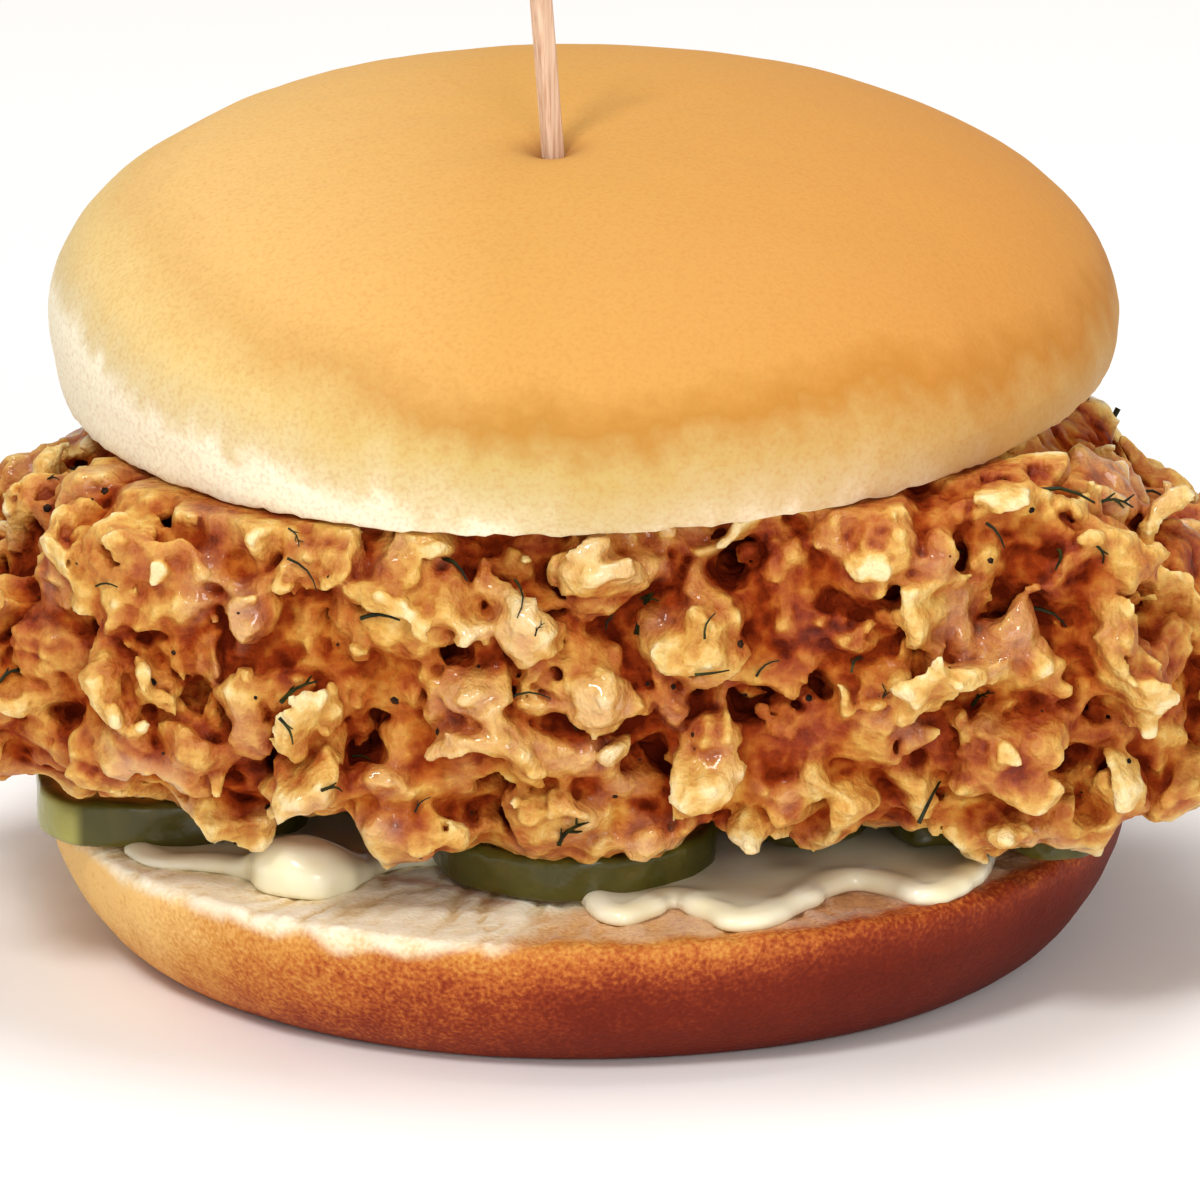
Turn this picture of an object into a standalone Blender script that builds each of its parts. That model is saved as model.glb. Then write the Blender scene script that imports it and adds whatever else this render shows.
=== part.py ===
"""Fried chicken sandwich: a plain round bun, a craggy fillet, pickle slices, mayonnaise and a wooden pick.

The origin is the centre of the heel's flat base. +Z is up, and -Y is the front. Lengths are in metres.
"""

import math
import random

import bmesh
import bpy
import numpy as np
from mathutils import Matrix, Vector, noise

MM = 0.001
GAP = 0.3 * MM  # air between two pieces that rest on each other
CUT_CLEARANCE = 0.45 * MM  # air that the fillet's coarse skin keeps to what it rests on

# Heel, the bottom half of the bun
HEEL_HEIGHT = 14.5 * MM
HEEL_CUT_RADIUS = 54.6 * MM
HEEL_BASE_RADIUS = 45.4 * MM
HEEL_SIDE_POWER = 1.6  # 2 is a quarter ellipse, 1 a straight slope
HEEL_LIP = 0.9 * MM  # the cut edge is worn round by this much

# Crown, the top half, tipped a little towards the front, with its left side lower and fuller
CROWN_RADIUS = 53.5 * MM
CROWN_CUT_RADIUS = 52.8 * MM
CROWN_DOME_HEIGHT = 22.4 * MM  # above its widest level
CROWN_SKIRT_HEIGHT = 3.7 * MM  # from the cut to its widest level
CROWN_DOME_POWER = 2.32
POLE_RADIUS = 3.0 * MM  # the flat spot at the middle of its top
CROWN_SKIRT_POWER = 1.6
CROWN_CENTRE = Vector((0.2 * MM, 0.0, 58.8 * MM))  # the middle of its cut face
CROWN_TIP = math.radians(3.0)
CROWN_ROLL = math.radians(2.2)
CROWN_SHIFT = -3.8 * MM  # how far to the right its top stands of its middle
CROWN_SLOPE = -0.036  # extra height towards the right, as a share of the distance
BUN_SEGMENTS = 52
BUN_UNEVENNESS = 0.35 * MM

# Mayonnaise, spread on the heel's cut face. Its outline is seen from above, in millimetres
SPREAD_THICKNESS = 1.0 * MM
SPREAD_OUTLINE = (
    (41, -14), (42, 0), (38, 14), (28, 25), (12, 31), (-6, 33), (-22, 28), (-33, 18), (-38, 4),
    (-40, -10), (-44, -19), (-46.5, -24.5), (-43.5, -29), (-38.5, -30.5), (-34.8, -32.5), (-32, -37.5),
    (-27.8, -39.6), (-23.6, -37.5), (-20.8, -32.5), (-17, -29), (-10, -29.5), (-4.5, -33), (-1.5, -39.5),
    (0.8, -45.8), (3.6, -47.8), (6.4, -45.6), (8.6, -42.4), (10.6, -45.4), (13, -49), (16, -49.6),
    (19, -47.2), (22.5, -41.8), (26.3, -37), (29.5, -38.6), (32.5, -41.6), (36, -40.3), (39.3, -34.5),
    (40.8, -25),
)  # fmt: skip
SPREAD_STEPS = 2  # short sides for each of the outline's points
LIP_HEIGHT = 1.0 * MM  # how much its edge stands above the layer
LIP_WIDTH = 2.6 * MM

# Pickle slices: centre x and y, half-width, half-depth, lowest z, thickness, turn in degrees, squareness
PICKLES = (
    (-41.6 * MM, -11.5 * MM, 13.8 * MM, 13.4 * MM, 14.8 * MM, 4.9 * MM, 2.0, 3.6),
    (-1.2 * MM, -28.2 * MM, 14.2 * MM, 14.0 * MM, 14.8 * MM, 4.7 * MM, 0.0, 2.0),
    (21.4 * MM, -16.5 * MM, 7.1 * MM, 12.6 * MM, 16.1 * MM, 4.0 * MM, 4.0, 2.3),
    (34.4 * MM, -17.0 * MM, 5.3 * MM, 12.4 * MM, 16.1 * MM, 4.0 * MM, 2.0, 2.3),
    (46.2 * MM, -22.5 * MM, 5.3 * MM, 10.8 * MM, 16.1 * MM, 4.4 * MM, 3.0, 2.3),
)
PICKLE_SEGMENTS = 32
PICKLE_SKIN_ROUND = 0.9 * MM

# Fillet: a blank with crags all round it
BLANK_CENTRE = Vector((1.0 * MM, 0.0, 41.1 * MM))
BLANK_HALF = Vector((66.0 * MM, 48.0 * MM, 20.1 * MM))
BLANK_FRONT_POWER = 2.7  # how square its front and its back are, seen from above
BLANK_BACK_POWER = 2.1
BLANK_SIDE_POWER = 4.6
END_DROOP = 0.86  # how much of its upper half the blank loses at its two ends
BACK_END_DROOP = 0.65  # and how much more towards the back of the ends
DROOP_START = 32.0 * MM
DROOP_LENGTH = 30.0 * MM
END_SAG = 5.0 * MM  # how far the ends hang down at their middle height
BACK_END_SAG = 9.0 * MM  # and how much further towards the back
# The crust's upper edge beyond the crown, seen from the front: how far right and above
UPPER_EDGE = (
    (-66, -1),
    (-58.5, 3.6),
    (-54, 3.7),
    (-51.3, 6.6),
    (-48, 11),
    (-46, 40),
    (46, 40),
    (48, 13),
    (51, 9.8),
    (55, 5),
    (57.7, 2.6),
    (61.2, 0.2),
    (66, -3),
)
FILLET_SEED = 7
SEEN_FROM = math.radians(16.5)  # the front crags are placed as they look from this high,
LOOK_AT_HEIGHT = 45.0 * MM  # with this point of the axis in the middle
# Front crags: how far right and how far above that point they look, and radius, in millimetres
FRONT_CRAGS = (
    (-56.6, -1.1, 4.4), (-47, -1.1, 5.0), (-45.5, -6.6, 5.0), (-33.4, -10.2, 4.3), (-28.9, -7.2, 4.6),
    (-19.3, -11.2, 4.2), (-15.3, -10.2, 4.0), (-6.7, -11.2, 5.0), (5.3, -8.2, 5.2), (11.9, -10.2, 4.6),
    (17.9, -7.2, 4.6), (27.5, -4.1, 4.7), (30, -11.7, 4.3), (41.6, -3.1, 5.6), (48.1, -8.2, 6.5),
    (57.7, -1.1, 4.2), (56.7, -7.7, 5.0), (-53.1, -15.2, 4.7), (-58.1, -19.2, 4.4), (-44, -18.2, 5.1),
    (-38.5, -15.2, 3.4), (-33.9, -22.3, 5.0), (-28.9, -20.2, 4.3), (-23.9, -17.2, 4.6), (-16.8, -16.2, 3.7),
    (-11.8, -21.2, 4.6), (-2.7, -15.2, 5.0), (2.3, -17.7, 4.3), (7.9, -21.8, 4.2), (11.4, -15.2, 4.9),
    (13.6, -23.8, 4.7), (20.4, -15.2, 4.9), (29.5, -19.7, 4.6), (35.5, -13.2, 4.3), (42.6, -23.8, 5.4),
    (49.6, -15.7, 5.8), (55.2, -17.2, 4.9), (60.2, -13.2, 4.2), (-57.1, -25.8, 5.2), (-48, -25.3, 5.6),
    (-40, -25.8, 4.2), (-36.0, -32.4, 4.4), (-25.9, -28.8, 5.2), (-15.6, -31.4, 5.0), (-19.4, -35.2, 4.4),
    (-10.3, -34.2, 4.8), (-4.7, -25.8, 5.6), (1.3, -31.4, 5.0), (4.2, -35.4, 4.4), (-3.6, -34.2, 4.2),
    (10.4, -31.0, 4.8), (18.4, -33.4, 4.6), (25, -31.6, 4.6), (29, -32.0, 4.8), (36.6, -30.6, 5.0),
    (41.6, -34.0, 4.6), (47.1, -32.6, 5.0), (52.7, -32.2, 4.8), (58.2, -28.4, 5.0), (61.2, -30.0, 4.2),
)  # fmt: skip
FRONT_HALF_ANGLE = 62.0  # degrees either side of the front that those crags fill
BACK_CRAGS = 95
BACK_CRAG_RADII = (4.0 * MM, 6.4 * MM)
BACK_CRAG_LEVELS = (-0.95, 0.7)  # -1 is the foot of the blank's side, 1 its top
SMALL_CRAGS = 190
SMALL_CRAG_RADII = (2.2 * MM, 3.3 * MM)
CRAG_SINK = 0.3  # share of a crag's radius that is inside the blank
CRAG_SHARES = ((0.95, 1.15), (0.75, 1.0), (0.6, 0.85))  # least and most of each half-size
CRAG_ROUGHNESS = 0.45
FILLET_VOXEL = 1.3 * MM
FILLET_TRIANGLES = 6000  # of the coarse skin, before it is cut

# Pick: a square stick with its edges taken off
PICK_WIDTH = 1.9 * MM
PICK_CHAMFER = 0.35 * MM
PICK_LENGTH = 100.0 * MM
PICK_POINT_LENGTH = 8.0 * MM
PICK_ENTRY = Vector((-3.5 * MM, -10.5 * MM, 84.3 * MM))  # where it goes into the crown
PICK_ABOVE = 24.0 * MM  # length above that point
PICK_LEAN_LEFT = math.radians(4.2)
PICK_LEAN_FRONT = math.radians(3.0)
BORE_RADIUS = PICK_WIDTH / 2 * math.sqrt(2) - PICK_CHAMFER / math.sqrt(2) + GAP
DENT_RADIUS = 3.0 * MM
DENT_DEPTH = 1.0 * MM

COLOURS = {
    "crown_crust": (0.86, 0.53, 0.20, 0.55),
    "heel_crust": (0.45, 0.14, 0.05, 0.6),
    "fried_crust": (0.66, 0.27, 0.06, 0.4),
    "pickle": (0.13, 0.16, 0.04, 0.25),
    "mayonnaise": (0.85, 0.76, 0.52, 0.25),
    "wood": (0.76, 0.50, 0.36, 0.6),
}


def clear_scene():
    for obj in list(bpy.data.objects):
        bpy.data.objects.remove(obj)


def material(name):
    made = bpy.data.materials.get(name) or bpy.data.materials.new(name)
    made.use_nodes = True
    red, green, blue, roughness = COLOURS[name]
    shader = made.node_tree.nodes["Principled BSDF"]
    shader.inputs["Base Color"].default_value = (red, green, blue, 1.0)
    shader.inputs["Roughness"].default_value = roughness
    return made


def add_object(name, bm, finish=None):
    """A new object from a bmesh, with smooth faces. One with no finish is a cutter or a guide."""
    mesh = bpy.data.meshes.new(name)
    bm.to_mesh(mesh)
    bm.free()
    obj = bpy.data.objects.new(name, mesh)
    bpy.context.scene.collection.objects.link(obj)
    if finish:
        mesh.materials.append(material(finish))
        mesh.shade_smooth()
        mesh.set_sharp_from_angle(angle=math.radians(40))
    else:
        obj.hide_render = True
        obj.display_type = "WIRE"
    return obj


def cut(obj, *cutters):
    for cutter in cutters:
        boolean = obj.modifiers.new("cut_" + cutter.name, "BOOLEAN")
        boolean.operation = "DIFFERENCE"
        boolean.object = cutter


def stacked_rings(rings):
    """A closed bmesh through the rings, which run from the bottom up and turn counter-clockwise."""
    bm = bmesh.new()
    loops = [[bm.verts.new(point) for point in ring] for ring in rings]
    for lower, upper in zip(loops, loops[1:]):
        count = len(lower)
        for i in range(count):
            j = (i + 1) % count
            bm.faces.new((lower[i], lower[j], upper[j], upper[i]))
    bm.faces.new(reversed(loops[0]))
    bm.faces.new(loops[-1])
    return bm


def turned_rings(profile, segments, unevenness=0.0):
    """Rings of a turned shape from (radius, z) pairs. Soft noise makes it as uneven as bread."""
    rings = []
    for radius, z in profile:
        ring = []
        for i in range(segments):
            angle = math.tau * i / segments
            around = Vector((math.cos(angle), math.sin(angle), 0.0))
            swell = noise.noise(Vector((around.x, around.y, z / (30 * MM))) * 1.7)
            spot = around * (radius + swell * unevenness * min(1.0, radius / (20 * MM)))
            ring.append(spot + Vector((0, 0, z)))
        rings.append(ring)
    return rings


def quarter(inner, outer, start, rise, power, steps):
    """(radius, z) pairs along a quarter superellipse, from the widest point to the inner one."""
    points = []
    for k in range(steps + 1):
        turn = math.pi / 2 * k / steps
        across = max(0.0, math.cos(turn)) ** (2 / power)
        along = math.sin(turn) ** (2 / power)
        points.append((inner + (outer - inner) * across, start + rise * along))
    return points


def make_heel(bore):
    lip_start = HEEL_HEIGHT - HEEL_LIP
    side = quarter(HEEL_BASE_RADIUS, HEEL_CUT_RADIUS, lip_start, -lip_start, HEEL_SIDE_POWER, 7)
    lip = quarter(HEEL_CUT_RADIUS - HEEL_LIP, HEEL_CUT_RADIUS, lip_start, HEEL_LIP, 2.0, 2)
    profile = side[::-1] + lip[1:]
    rings = turned_rings(profile, BUN_SEGMENTS, BUN_UNEVENNESS)
    heel = add_object("heel", stacked_rings(rings), "heel_crust")
    cut(heel, bore)
    return heel


def crown_frame():
    turn = Matrix.Rotation(CROWN_TIP, 4, "X") @ Matrix.Rotation(-CROWN_ROLL, 4, "Y")
    return Matrix.Translation(CROWN_CENTRE) @ turn


def make_crown(bore):
    waist = CROWN_SKIRT_HEIGHT
    skirt = quarter(CROWN_CUT_RADIUS, CROWN_RADIUS, waist, -waist, CROWN_SKIRT_POWER, 4)
    dome = quarter(POLE_RADIUS, CROWN_RADIUS, waist, CROWN_DOME_HEIGHT, CROWN_DOME_POWER, 12)
    rings = turned_rings(skirt[::-1] + dome[1:], BUN_SEGMENTS, BUN_UNEVENNESS)
    for point in (point for ring in rings for point in ring):
        lift = max(0.0, point.z - waist)
        point.x += CROWN_SHIFT * lift / CROWN_DOME_HEIGHT
        point.z += lift * CROWN_SLOPE * point.x / CROWN_RADIUS
    crown = add_object("crown", stacked_rings(rings), "crown_crust")
    crown.matrix_world = crown_frame()
    cut(crown, bore)
    return crown


def smooth_outline(corners, steps):
    """A closed curve through the corners, counter-clockwise, in metres."""
    count = len(corners)
    points = []
    for i in range(count):
        before, start, end, after = (Vector(corners[(i + k) % count]) * MM for k in (-1, 0, 1, 2))
        for k in range(steps):
            t = k / steps
            bend = 2 * start + (end - before) * t + (2 * before - 5 * start + 4 * end - after) * t * t
            points.append(0.5 * (bend + (3 * start - before - 3 * end + after) * t**3))
    return points


def inset_outline(points, inset):
    """The outline moved inwards, with its close corners kept from crossing."""
    count = len(points)
    moved = []
    for i in range(count):
        along = (points[(i + 1) % count] - points[i - 1]).normalized()
        moved.append(points[i] + Vector((-along.y, along.x)) * inset)
    for _ in range(round(inset / (0.5 * MM))):
        moved = [(moved[i - 1] + moved[i] * 2 + moved[(i + 1) % count]) / 4 for i in range(count)]
    return moved


def make_mayonnaise(bore, pickle_keep_offs):
    outline = smooth_outline(SPREAD_OUTLINE, SPREAD_STEPS)
    bottom = HEEL_HEIGHT + GAP
    rim = SPREAD_THICKNESS + LIP_HEIGHT
    # Each ring: how far in from the edge, and its height above the heel
    levels = (
        (0.35 * MM, 0.0),
        (0.0, 0.35 * rim),
        (0.3 * MM, 0.8 * rim),
        (1.0 * MM, rim),
        (0.6 * LIP_WIDTH, 0.85 * rim),
        (LIP_WIDTH, SPREAD_THICKNESS),
    )
    rings = []
    for inset, height in levels:
        rings.append([Vector((x, y, bottom + height)) for x, y in inset_outline(outline, inset)])
    spread = add_object("mayonnaise", stacked_rings(rings), "mayonnaise")
    cut(spread, bore, *pickle_keep_offs)
    return spread


def pickle_rings(x, y, half_width, half_depth, low, thickness, turn, squareness, grow=0.0):
    """Rings of one slice, or of its larger shape when grow is above 0."""
    bottom, top = low - grow, low + thickness + grow
    levels = (
        (PICKLE_SKIN_ROUND, bottom),
        (0.0, bottom + PICKLE_SKIN_ROUND),
        (0.0, top - PICKLE_SKIN_ROUND),
        (PICKLE_SKIN_ROUND, top),
    )
    rings = []
    for inset, z in levels:
        ring = []
        for i in range(PICKLE_SEGMENTS):
            angle = math.tau * (i + 0.5) / PICKLE_SEGMENTS
            cosine, sine = math.cos(angle), math.sin(angle)
            swell = (abs(cosine) ** squareness + abs(sine) ** squareness) ** (-1 / squareness)
            across = (half_width + grow - inset) * swell * cosine
            deep = (half_depth + grow - inset) * swell * sine
            turned = Matrix.Rotation(math.radians(turn), 3, "Z") @ Vector((across, deep, 0))
            ring.append(turned + Vector((x, y, z)))
        rings.append(ring)
    return rings


def make_pickles():
    """The slices, and the larger shapes that keep the fillet off them."""
    keep_offs = []
    for number, slice_sizes in enumerate(PICKLES, 1):
        add_object(f"pickle_{number}", stacked_rings(pickle_rings(*slice_sizes)), "pickle")
        larger = stacked_rings(pickle_rings(*slice_sizes, grow=CUT_CLEARANCE))
        keep_offs.append(add_object(f"pickle_{number}_keep_off", larger))
    return keep_offs


def plan_radius(angle):
    """The blank's radius at its middle height, in a direction seen from above."""
    return 1 / plan_share(math.cos(angle), math.sin(angle))


def blank_wall(angle, level):
    """The point of the blank's side in a direction, at a level from -1 at its foot to 1 at its top."""
    share = (1 - min(0.98, abs(level)) ** BLANK_SIDE_POWER) ** (1 / BLANK_SIDE_POWER)
    radius = plan_radius(angle) * share
    return drooped(Vector((radius * math.cos(angle), radius * math.sin(angle), level * BLANK_HALF.z)))


def droop(x, y):
    """What is left of the blank's upper half at a place measured from its centre."""
    past = min(1.0, max(0.0, (abs(x) - DROOP_START) / DROOP_LENGTH))
    lost = END_DROOP * past**1.5 + BACK_END_DROOP * past * max(0.0, y / BLANK_HALF.y)
    return max(0.12, 1 - lost)


def sag(x, y):
    """How far the blank's middle height hangs down at a place measured from its centre."""
    past = min(1.0, max(0.0, (abs(x) - DROOP_START) / DROOP_LENGTH))
    return END_SAG * past**2 + BACK_END_SAG * past * max(0.0, y / BLANK_HALF.y)


def drooped(spot):
    """A spot measured from the blank's centre, moved down where the blank's ends droop and sag."""
    lower = sag(spot.x, spot.y)
    share = droop(spot.x, spot.y) if spot.z > 0 else 1 - lower / BLANK_HALF.z
    return BLANK_CENTRE + Vector((spot.x, spot.y, spot.z * share - lower))


def blank_level(x, y, z):
    """0 at the blank's middle height, 1 at its top or foot, at a place measured from its centre."""
    lower = sag(x, y)
    z += lower
    return z / (BLANK_HALF.z * droop(x, y)) if z > 0 else z / (lower - BLANK_HALF.z)


def plan_share(x, y):
    """0 on the blank's axis, 1 at its widest outline."""
    power = BLANK_BACK_POWER if y > 0 else BLANK_FRONT_POWER
    return (abs(x / BLANK_HALF.x) ** power + abs(y / BLANK_HALF.y) ** power) ** (1 / power)


def front_wall(right, above):
    """The point of the blank that looks this far right and above from the front, in millimetres."""
    x = right * MM - BLANK_CENTRE.x
    nearest = None
    for step in range(90):
        y = -BLANK_HALF.y + step * 0.6 * MM
        z = (above * MM - y * math.sin(SEEN_FROM)) / math.cos(SEEN_FROM) + LOOK_AT_HEIGHT - BLANK_CENTRE.z
        depth = plan_share(x, y) ** BLANK_SIDE_POWER + blank_level(x, y, z) ** BLANK_SIDE_POWER
        if nearest is None or depth < nearest[0]:
            nearest = (depth, Vector((x, y, z)))
        if depth < 1:
            break
    return BLANK_CENTRE + nearest[1]


def add_lump(bm, centre, radii, turn, detail, seed):
    """One crag: a small ball, squashed, turned and roughened."""
    made = bmesh.ops.create_icosphere(bm, subdivisions=detail, radius=1.0)
    shift = Vector((seed * 1.37, seed * 0.73, seed * 2.11))
    for vert in made["verts"]:
        rough = 1 + CRAG_ROUGHNESS * noise.fractal(vert.co * 1.4 + shift, 0.7, 2.0, 3)
        spot = Vector(vert.co[k] * radii[k] * rough for k in range(3))
        vert.co = centre + turn @ spot


def below_edge(spot, radius):
    """The spot, moved down so that a crag there stays under the crust's upper edge."""
    top = (spot.z + radius - LOOK_AT_HEIGHT) * math.cos(SEEN_FROM) + spot.y * math.sin(SEEN_FROM)
    rights, aboves = zip(*UPPER_EDGE)
    over = max(0.0, top - np.interp(spot.x / MM, rights, aboves) * MM)
    return spot - Vector((0, 0, over / math.cos(SEEN_FROM)))


def crag_places(draw):
    """(spot on the blank, radius) of every crag."""
    places = [(front_wall(right, above), radius * MM) for right, above, radius in FRONT_CRAGS]
    for _ in range(BACK_CRAGS):
        angle = math.radians(draw.uniform(FRONT_HALF_ANGLE, 360 - FRONT_HALF_ANGLE) - 90)
        spot, radius = blank_wall(angle, draw.uniform(*BACK_CRAG_LEVELS)), draw.uniform(*BACK_CRAG_RADII)
        places.append((below_edge(spot, radius), radius))
    for _ in range(SMALL_CRAGS):
        angle = draw.uniform(0, math.tau)
        spot, radius = blank_wall(angle, draw.uniform(-0.97, 0.97)), draw.uniform(*SMALL_CRAG_RADII)
        places.append((below_edge(spot, radius), radius))
    return places


def fillet_lumps():
    """The blank and every crag, as overlapping closed shapes in one bmesh."""
    draw = random.Random(FILLET_SEED)
    bm = bmesh.new()
    for vert in bmesh.ops.create_icosphere(bm, subdivisions=5, radius=1.0)["verts"]:
        x, y, z = vert.co.normalized()
        plan = plan_share(x * BLANK_HALF.x, y * BLANK_HALF.y) ** BLANK_SIDE_POWER
        share = (plan + abs(z) ** BLANK_SIDE_POWER) ** (-1 / BLANK_SIDE_POWER)
        vert.co = drooped(Vector((x * BLANK_HALF.x, y * BLANK_HALF.y, z * BLANK_HALF.z)) * share)
    for number, (spot, radius) in enumerate(crag_places(draw)):
        inwards = (BLANK_CENTRE - spot).normalized()
        turn = Matrix.Rotation(draw.uniform(0, math.tau), 3, draw.choice("XYZ"))
        turn = turn @ Matrix.Rotation(draw.uniform(0, math.tau), 3, draw.choice("XYZ"))
        radii = [radius * draw.uniform(*shares) for shares in CRAG_SHARES]
        add_lump(bm, spot + inwards * radius * CRAG_SINK, radii, turn, 3, number)
    return bm


def largest_piece(mesh):
    """A bmesh of the mesh's largest connected piece, without the skins of hollows inside it."""
    bm = bmesh.new()
    bm.from_mesh(mesh)
    left = set(bm.verts)
    pieces = []
    while left:
        start = left.pop()
        piece, edge = {start}, [start]
        while edge:
            vert = edge.pop()
            for link in vert.link_edges:
                other = link.other_vert(vert)
                if other in left:
                    left.discard(other)
                    piece.add(other)
                    edge.append(other)
        pieces.append(piece)
    pieces.sort(key=len)
    scraps = [vert for piece in pieces[:-1] for vert in piece]
    bmesh.ops.delete(bm, geom=scraps, context="VERTS")
    return bm


def fused(bm, voxel):
    """One skin round all the shapes of a bmesh."""
    guide = add_object("fuse_guide", bm)
    remesh = guide.modifiers.new("fuse", "REMESH")
    remesh.mode = "VOXEL"
    remesh.voxel_size = voxel
    evaluated = guide.evaluated_get(bpy.context.evaluated_depsgraph_get())
    mesh = bpy.data.meshes.new_from_object(evaluated)
    bpy.data.objects.remove(guide)
    made = largest_piece(mesh)
    bpy.data.meshes.remove(mesh)
    return made


def slab(name, frame, low, high):
    """A wide box cutter between two levels of a frame."""
    reach = 100 * MM
    bm = bmesh.new()
    bmesh.ops.create_cube(bm, size=1.0)
    for vert in bm.verts:
        spot = Vector((vert.co.x * 2 * reach, vert.co.y * 2 * reach, low + (vert.co.z + 0.5) * (high - low)))
        vert.co = frame @ spot
    return add_object(name, bm)


def make_fillet(bore, pickle_keep_offs):
    skin = fused(fillet_lumps(), FILLET_VOXEL)
    keep = FILLET_TRIANGLES / sum(len(face.verts) - 2 for face in skin.faces)
    fillet = add_object("fried_chicken", skin, "fried_crust")
    coarse = fillet.modifiers.new("coarse_skin", "DECIMATE")
    coarse.ratio = keep
    under_crown = slab("crown_keep_off", crown_frame(), -CUT_CLEARANCE, 60 * MM)
    spread_top = HEEL_HEIGHT + GAP + SPREAD_THICKNESS + LIP_HEIGHT
    over_spread = slab("spread_keep_off", Matrix.Identity(4), -60 * MM, spread_top + CUT_CLEARANCE)
    cut(fillet, under_crown, over_spread, bore, *pickle_keep_offs)
    return fillet


def pick_frame():
    """The pick's own frame: its origin is where it enters the crown, and +Z is its upper end."""
    along = Vector((-math.tan(PICK_LEAN_LEFT), -math.tan(PICK_LEAN_FRONT), 1.0)).normalized()
    return Matrix.Translation(PICK_ENTRY) @ along.to_track_quat("Z", "Y").to_matrix().to_4x4()


def stick_section(half, chamfer):
    """Corners of a square with its edges taken off, counter-clockwise."""
    inner = half - chamfer
    return [
        (half, -inner), (half, inner), (inner, half), (-inner, half),
        (-half, inner), (-half, -inner), (-inner, -half), (inner, -half),
    ]  # fmt: skip


def make_pick():
    half = PICK_WIDTH / 2
    blunt = 0.1
    low = PICK_ABOVE - PICK_LENGTH
    levels = ((low, blunt), (low + PICK_POINT_LENGTH, 1.0), (PICK_ABOVE, 1.0))
    section = stick_section(half, PICK_CHAMFER)
    rings = [[Vector((x * share, y * share, z)) for x, y in section] for z, share in levels]
    pick = add_object("pick", stacked_rings(rings), "wood")
    pick.matrix_world = pick_frame()
    return pick


def make_bore():
    """The cutter for the pick's hole, with a flared mouth for the dent in the crown."""
    low = PICK_ABOVE - PICK_LENGTH - GAP
    profile = (
        (BORE_RADIUS, low),
        (BORE_RADIUS, -DENT_DEPTH),
        ((BORE_RADIUS + DENT_RADIUS) / 2, -0.35 * DENT_DEPTH),
        (DENT_RADIUS, 0.1 * DENT_DEPTH),
        (DENT_RADIUS * 1.3, PICK_ABOVE),
    )
    bore = add_object("pick_bore", stacked_rings(turned_rings(profile, 12)))
    bore.matrix_world = pick_frame()
    return bore


def main():
    clear_scene()
    bore = make_bore()
    make_heel(bore)
    keep_offs = make_pickles()
    make_mayonnaise(bore, keep_offs)
    make_fillet(bore, keep_offs)
    make_crown(bore)
    make_pick()


main()
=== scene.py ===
"""Looks for a fried chicken sandwich: bun, craggy fillet, pickles, mayonnaise and a wooden pick.

Lengths in the constants are in millimetres unless a name ends in _M.
"""

import math
import random

import bmesh
import bpy
import numpy as np
import openvdb
from mathutils import Matrix, Vector, noise


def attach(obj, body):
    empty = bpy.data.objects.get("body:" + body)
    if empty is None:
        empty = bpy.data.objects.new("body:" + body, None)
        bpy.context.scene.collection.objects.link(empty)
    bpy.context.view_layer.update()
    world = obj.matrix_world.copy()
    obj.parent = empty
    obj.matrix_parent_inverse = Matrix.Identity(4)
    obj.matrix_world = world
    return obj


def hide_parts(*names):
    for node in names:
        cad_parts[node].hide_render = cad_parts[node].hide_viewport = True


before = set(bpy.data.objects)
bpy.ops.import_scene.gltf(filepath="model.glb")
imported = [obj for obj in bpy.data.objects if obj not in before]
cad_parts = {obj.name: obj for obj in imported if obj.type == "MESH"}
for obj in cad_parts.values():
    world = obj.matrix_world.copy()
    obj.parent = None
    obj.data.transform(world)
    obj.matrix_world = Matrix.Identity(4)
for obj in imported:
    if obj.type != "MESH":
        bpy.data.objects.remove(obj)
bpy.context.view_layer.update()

MM = 0.001
GAP = 0.3

# Photo's view: 1200 pixels square, long lens
VIEW_HEIGHT = math.radians(16.5)
VIEW_DISTANCE = 1400.0
LOOK_AT_HEIGHT = 45.0
PIXELS_PER_MM = 9.926
LOOK_AT_PIXEL = (587.2, 489.3)
PHOTO_SIDE = 1200

# Heel
HEEL_HEIGHT = 14.5
HEEL_CUT_RADIUS = 54.6
HEEL_BASE_RADIUS = 45.4
HEEL_SIDE_POWER = 1.6
HEEL_LIP = 1.3
# How pale the heel's side is from left to right
HEEL_BAKE = (
    (-49, 0.93), (-44, 0.87), (-34, 0.67), (-19, 0.58), (0, 0.41), (11, 0.36), (21, 0.29),
    (31, 0.23), (42, 0.19), (48, 0.2),
)
# From what height up the crust gives way to bare crumb at each place across, and how pale the cut face is
PALE_FROM = ((-50, 12.4), (-30, 11.8), (-18, 11.9), (-8, 13.2), (0, 15.0), (8, 16.5))
TOASTED = 0.35
# Where chicken juice has run on the cut face
JUICE = ((-25, -31.5), (-17, -33.2), (-12, -36), (-8, -41))

# Crown
CROWN_RADIUS = 53.5
CROWN_CUT_RADIUS = 52.8
CROWN_DOME_HEIGHT = 22.4
CROWN_SKIRT_HEIGHT = 3.7
CROWN_DOME_POWER = 2.32
CROWN_SKIRT_POWER = 1.6
CROWN_CENTRE = Vector((0.2, 0.0, 58.8))
CROWN_TIP = math.radians(3.0)
CROWN_ROLL = math.radians(2.2)
CROWN_SHIFT = -3.8
CROWN_SLOPE = -0.036
DENT_RADIUS, DENT_DEPTH = 2.6, 1.5
DENT_HOLLOW_RADIUS, DENT_HOLLOW_DEPTH = 7.0, 0.35
# How many millimetres higher up the dome's colours sit at each place across it
CROWN_BAKE = ((-54, -9.5), (-30, -3.0), (0, 1.4), (30, 2.6), (54, 6))
CROWN_BAKE_HEIGHT = 16.0
BUN_UNEVENNESS = 0.35

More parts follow.
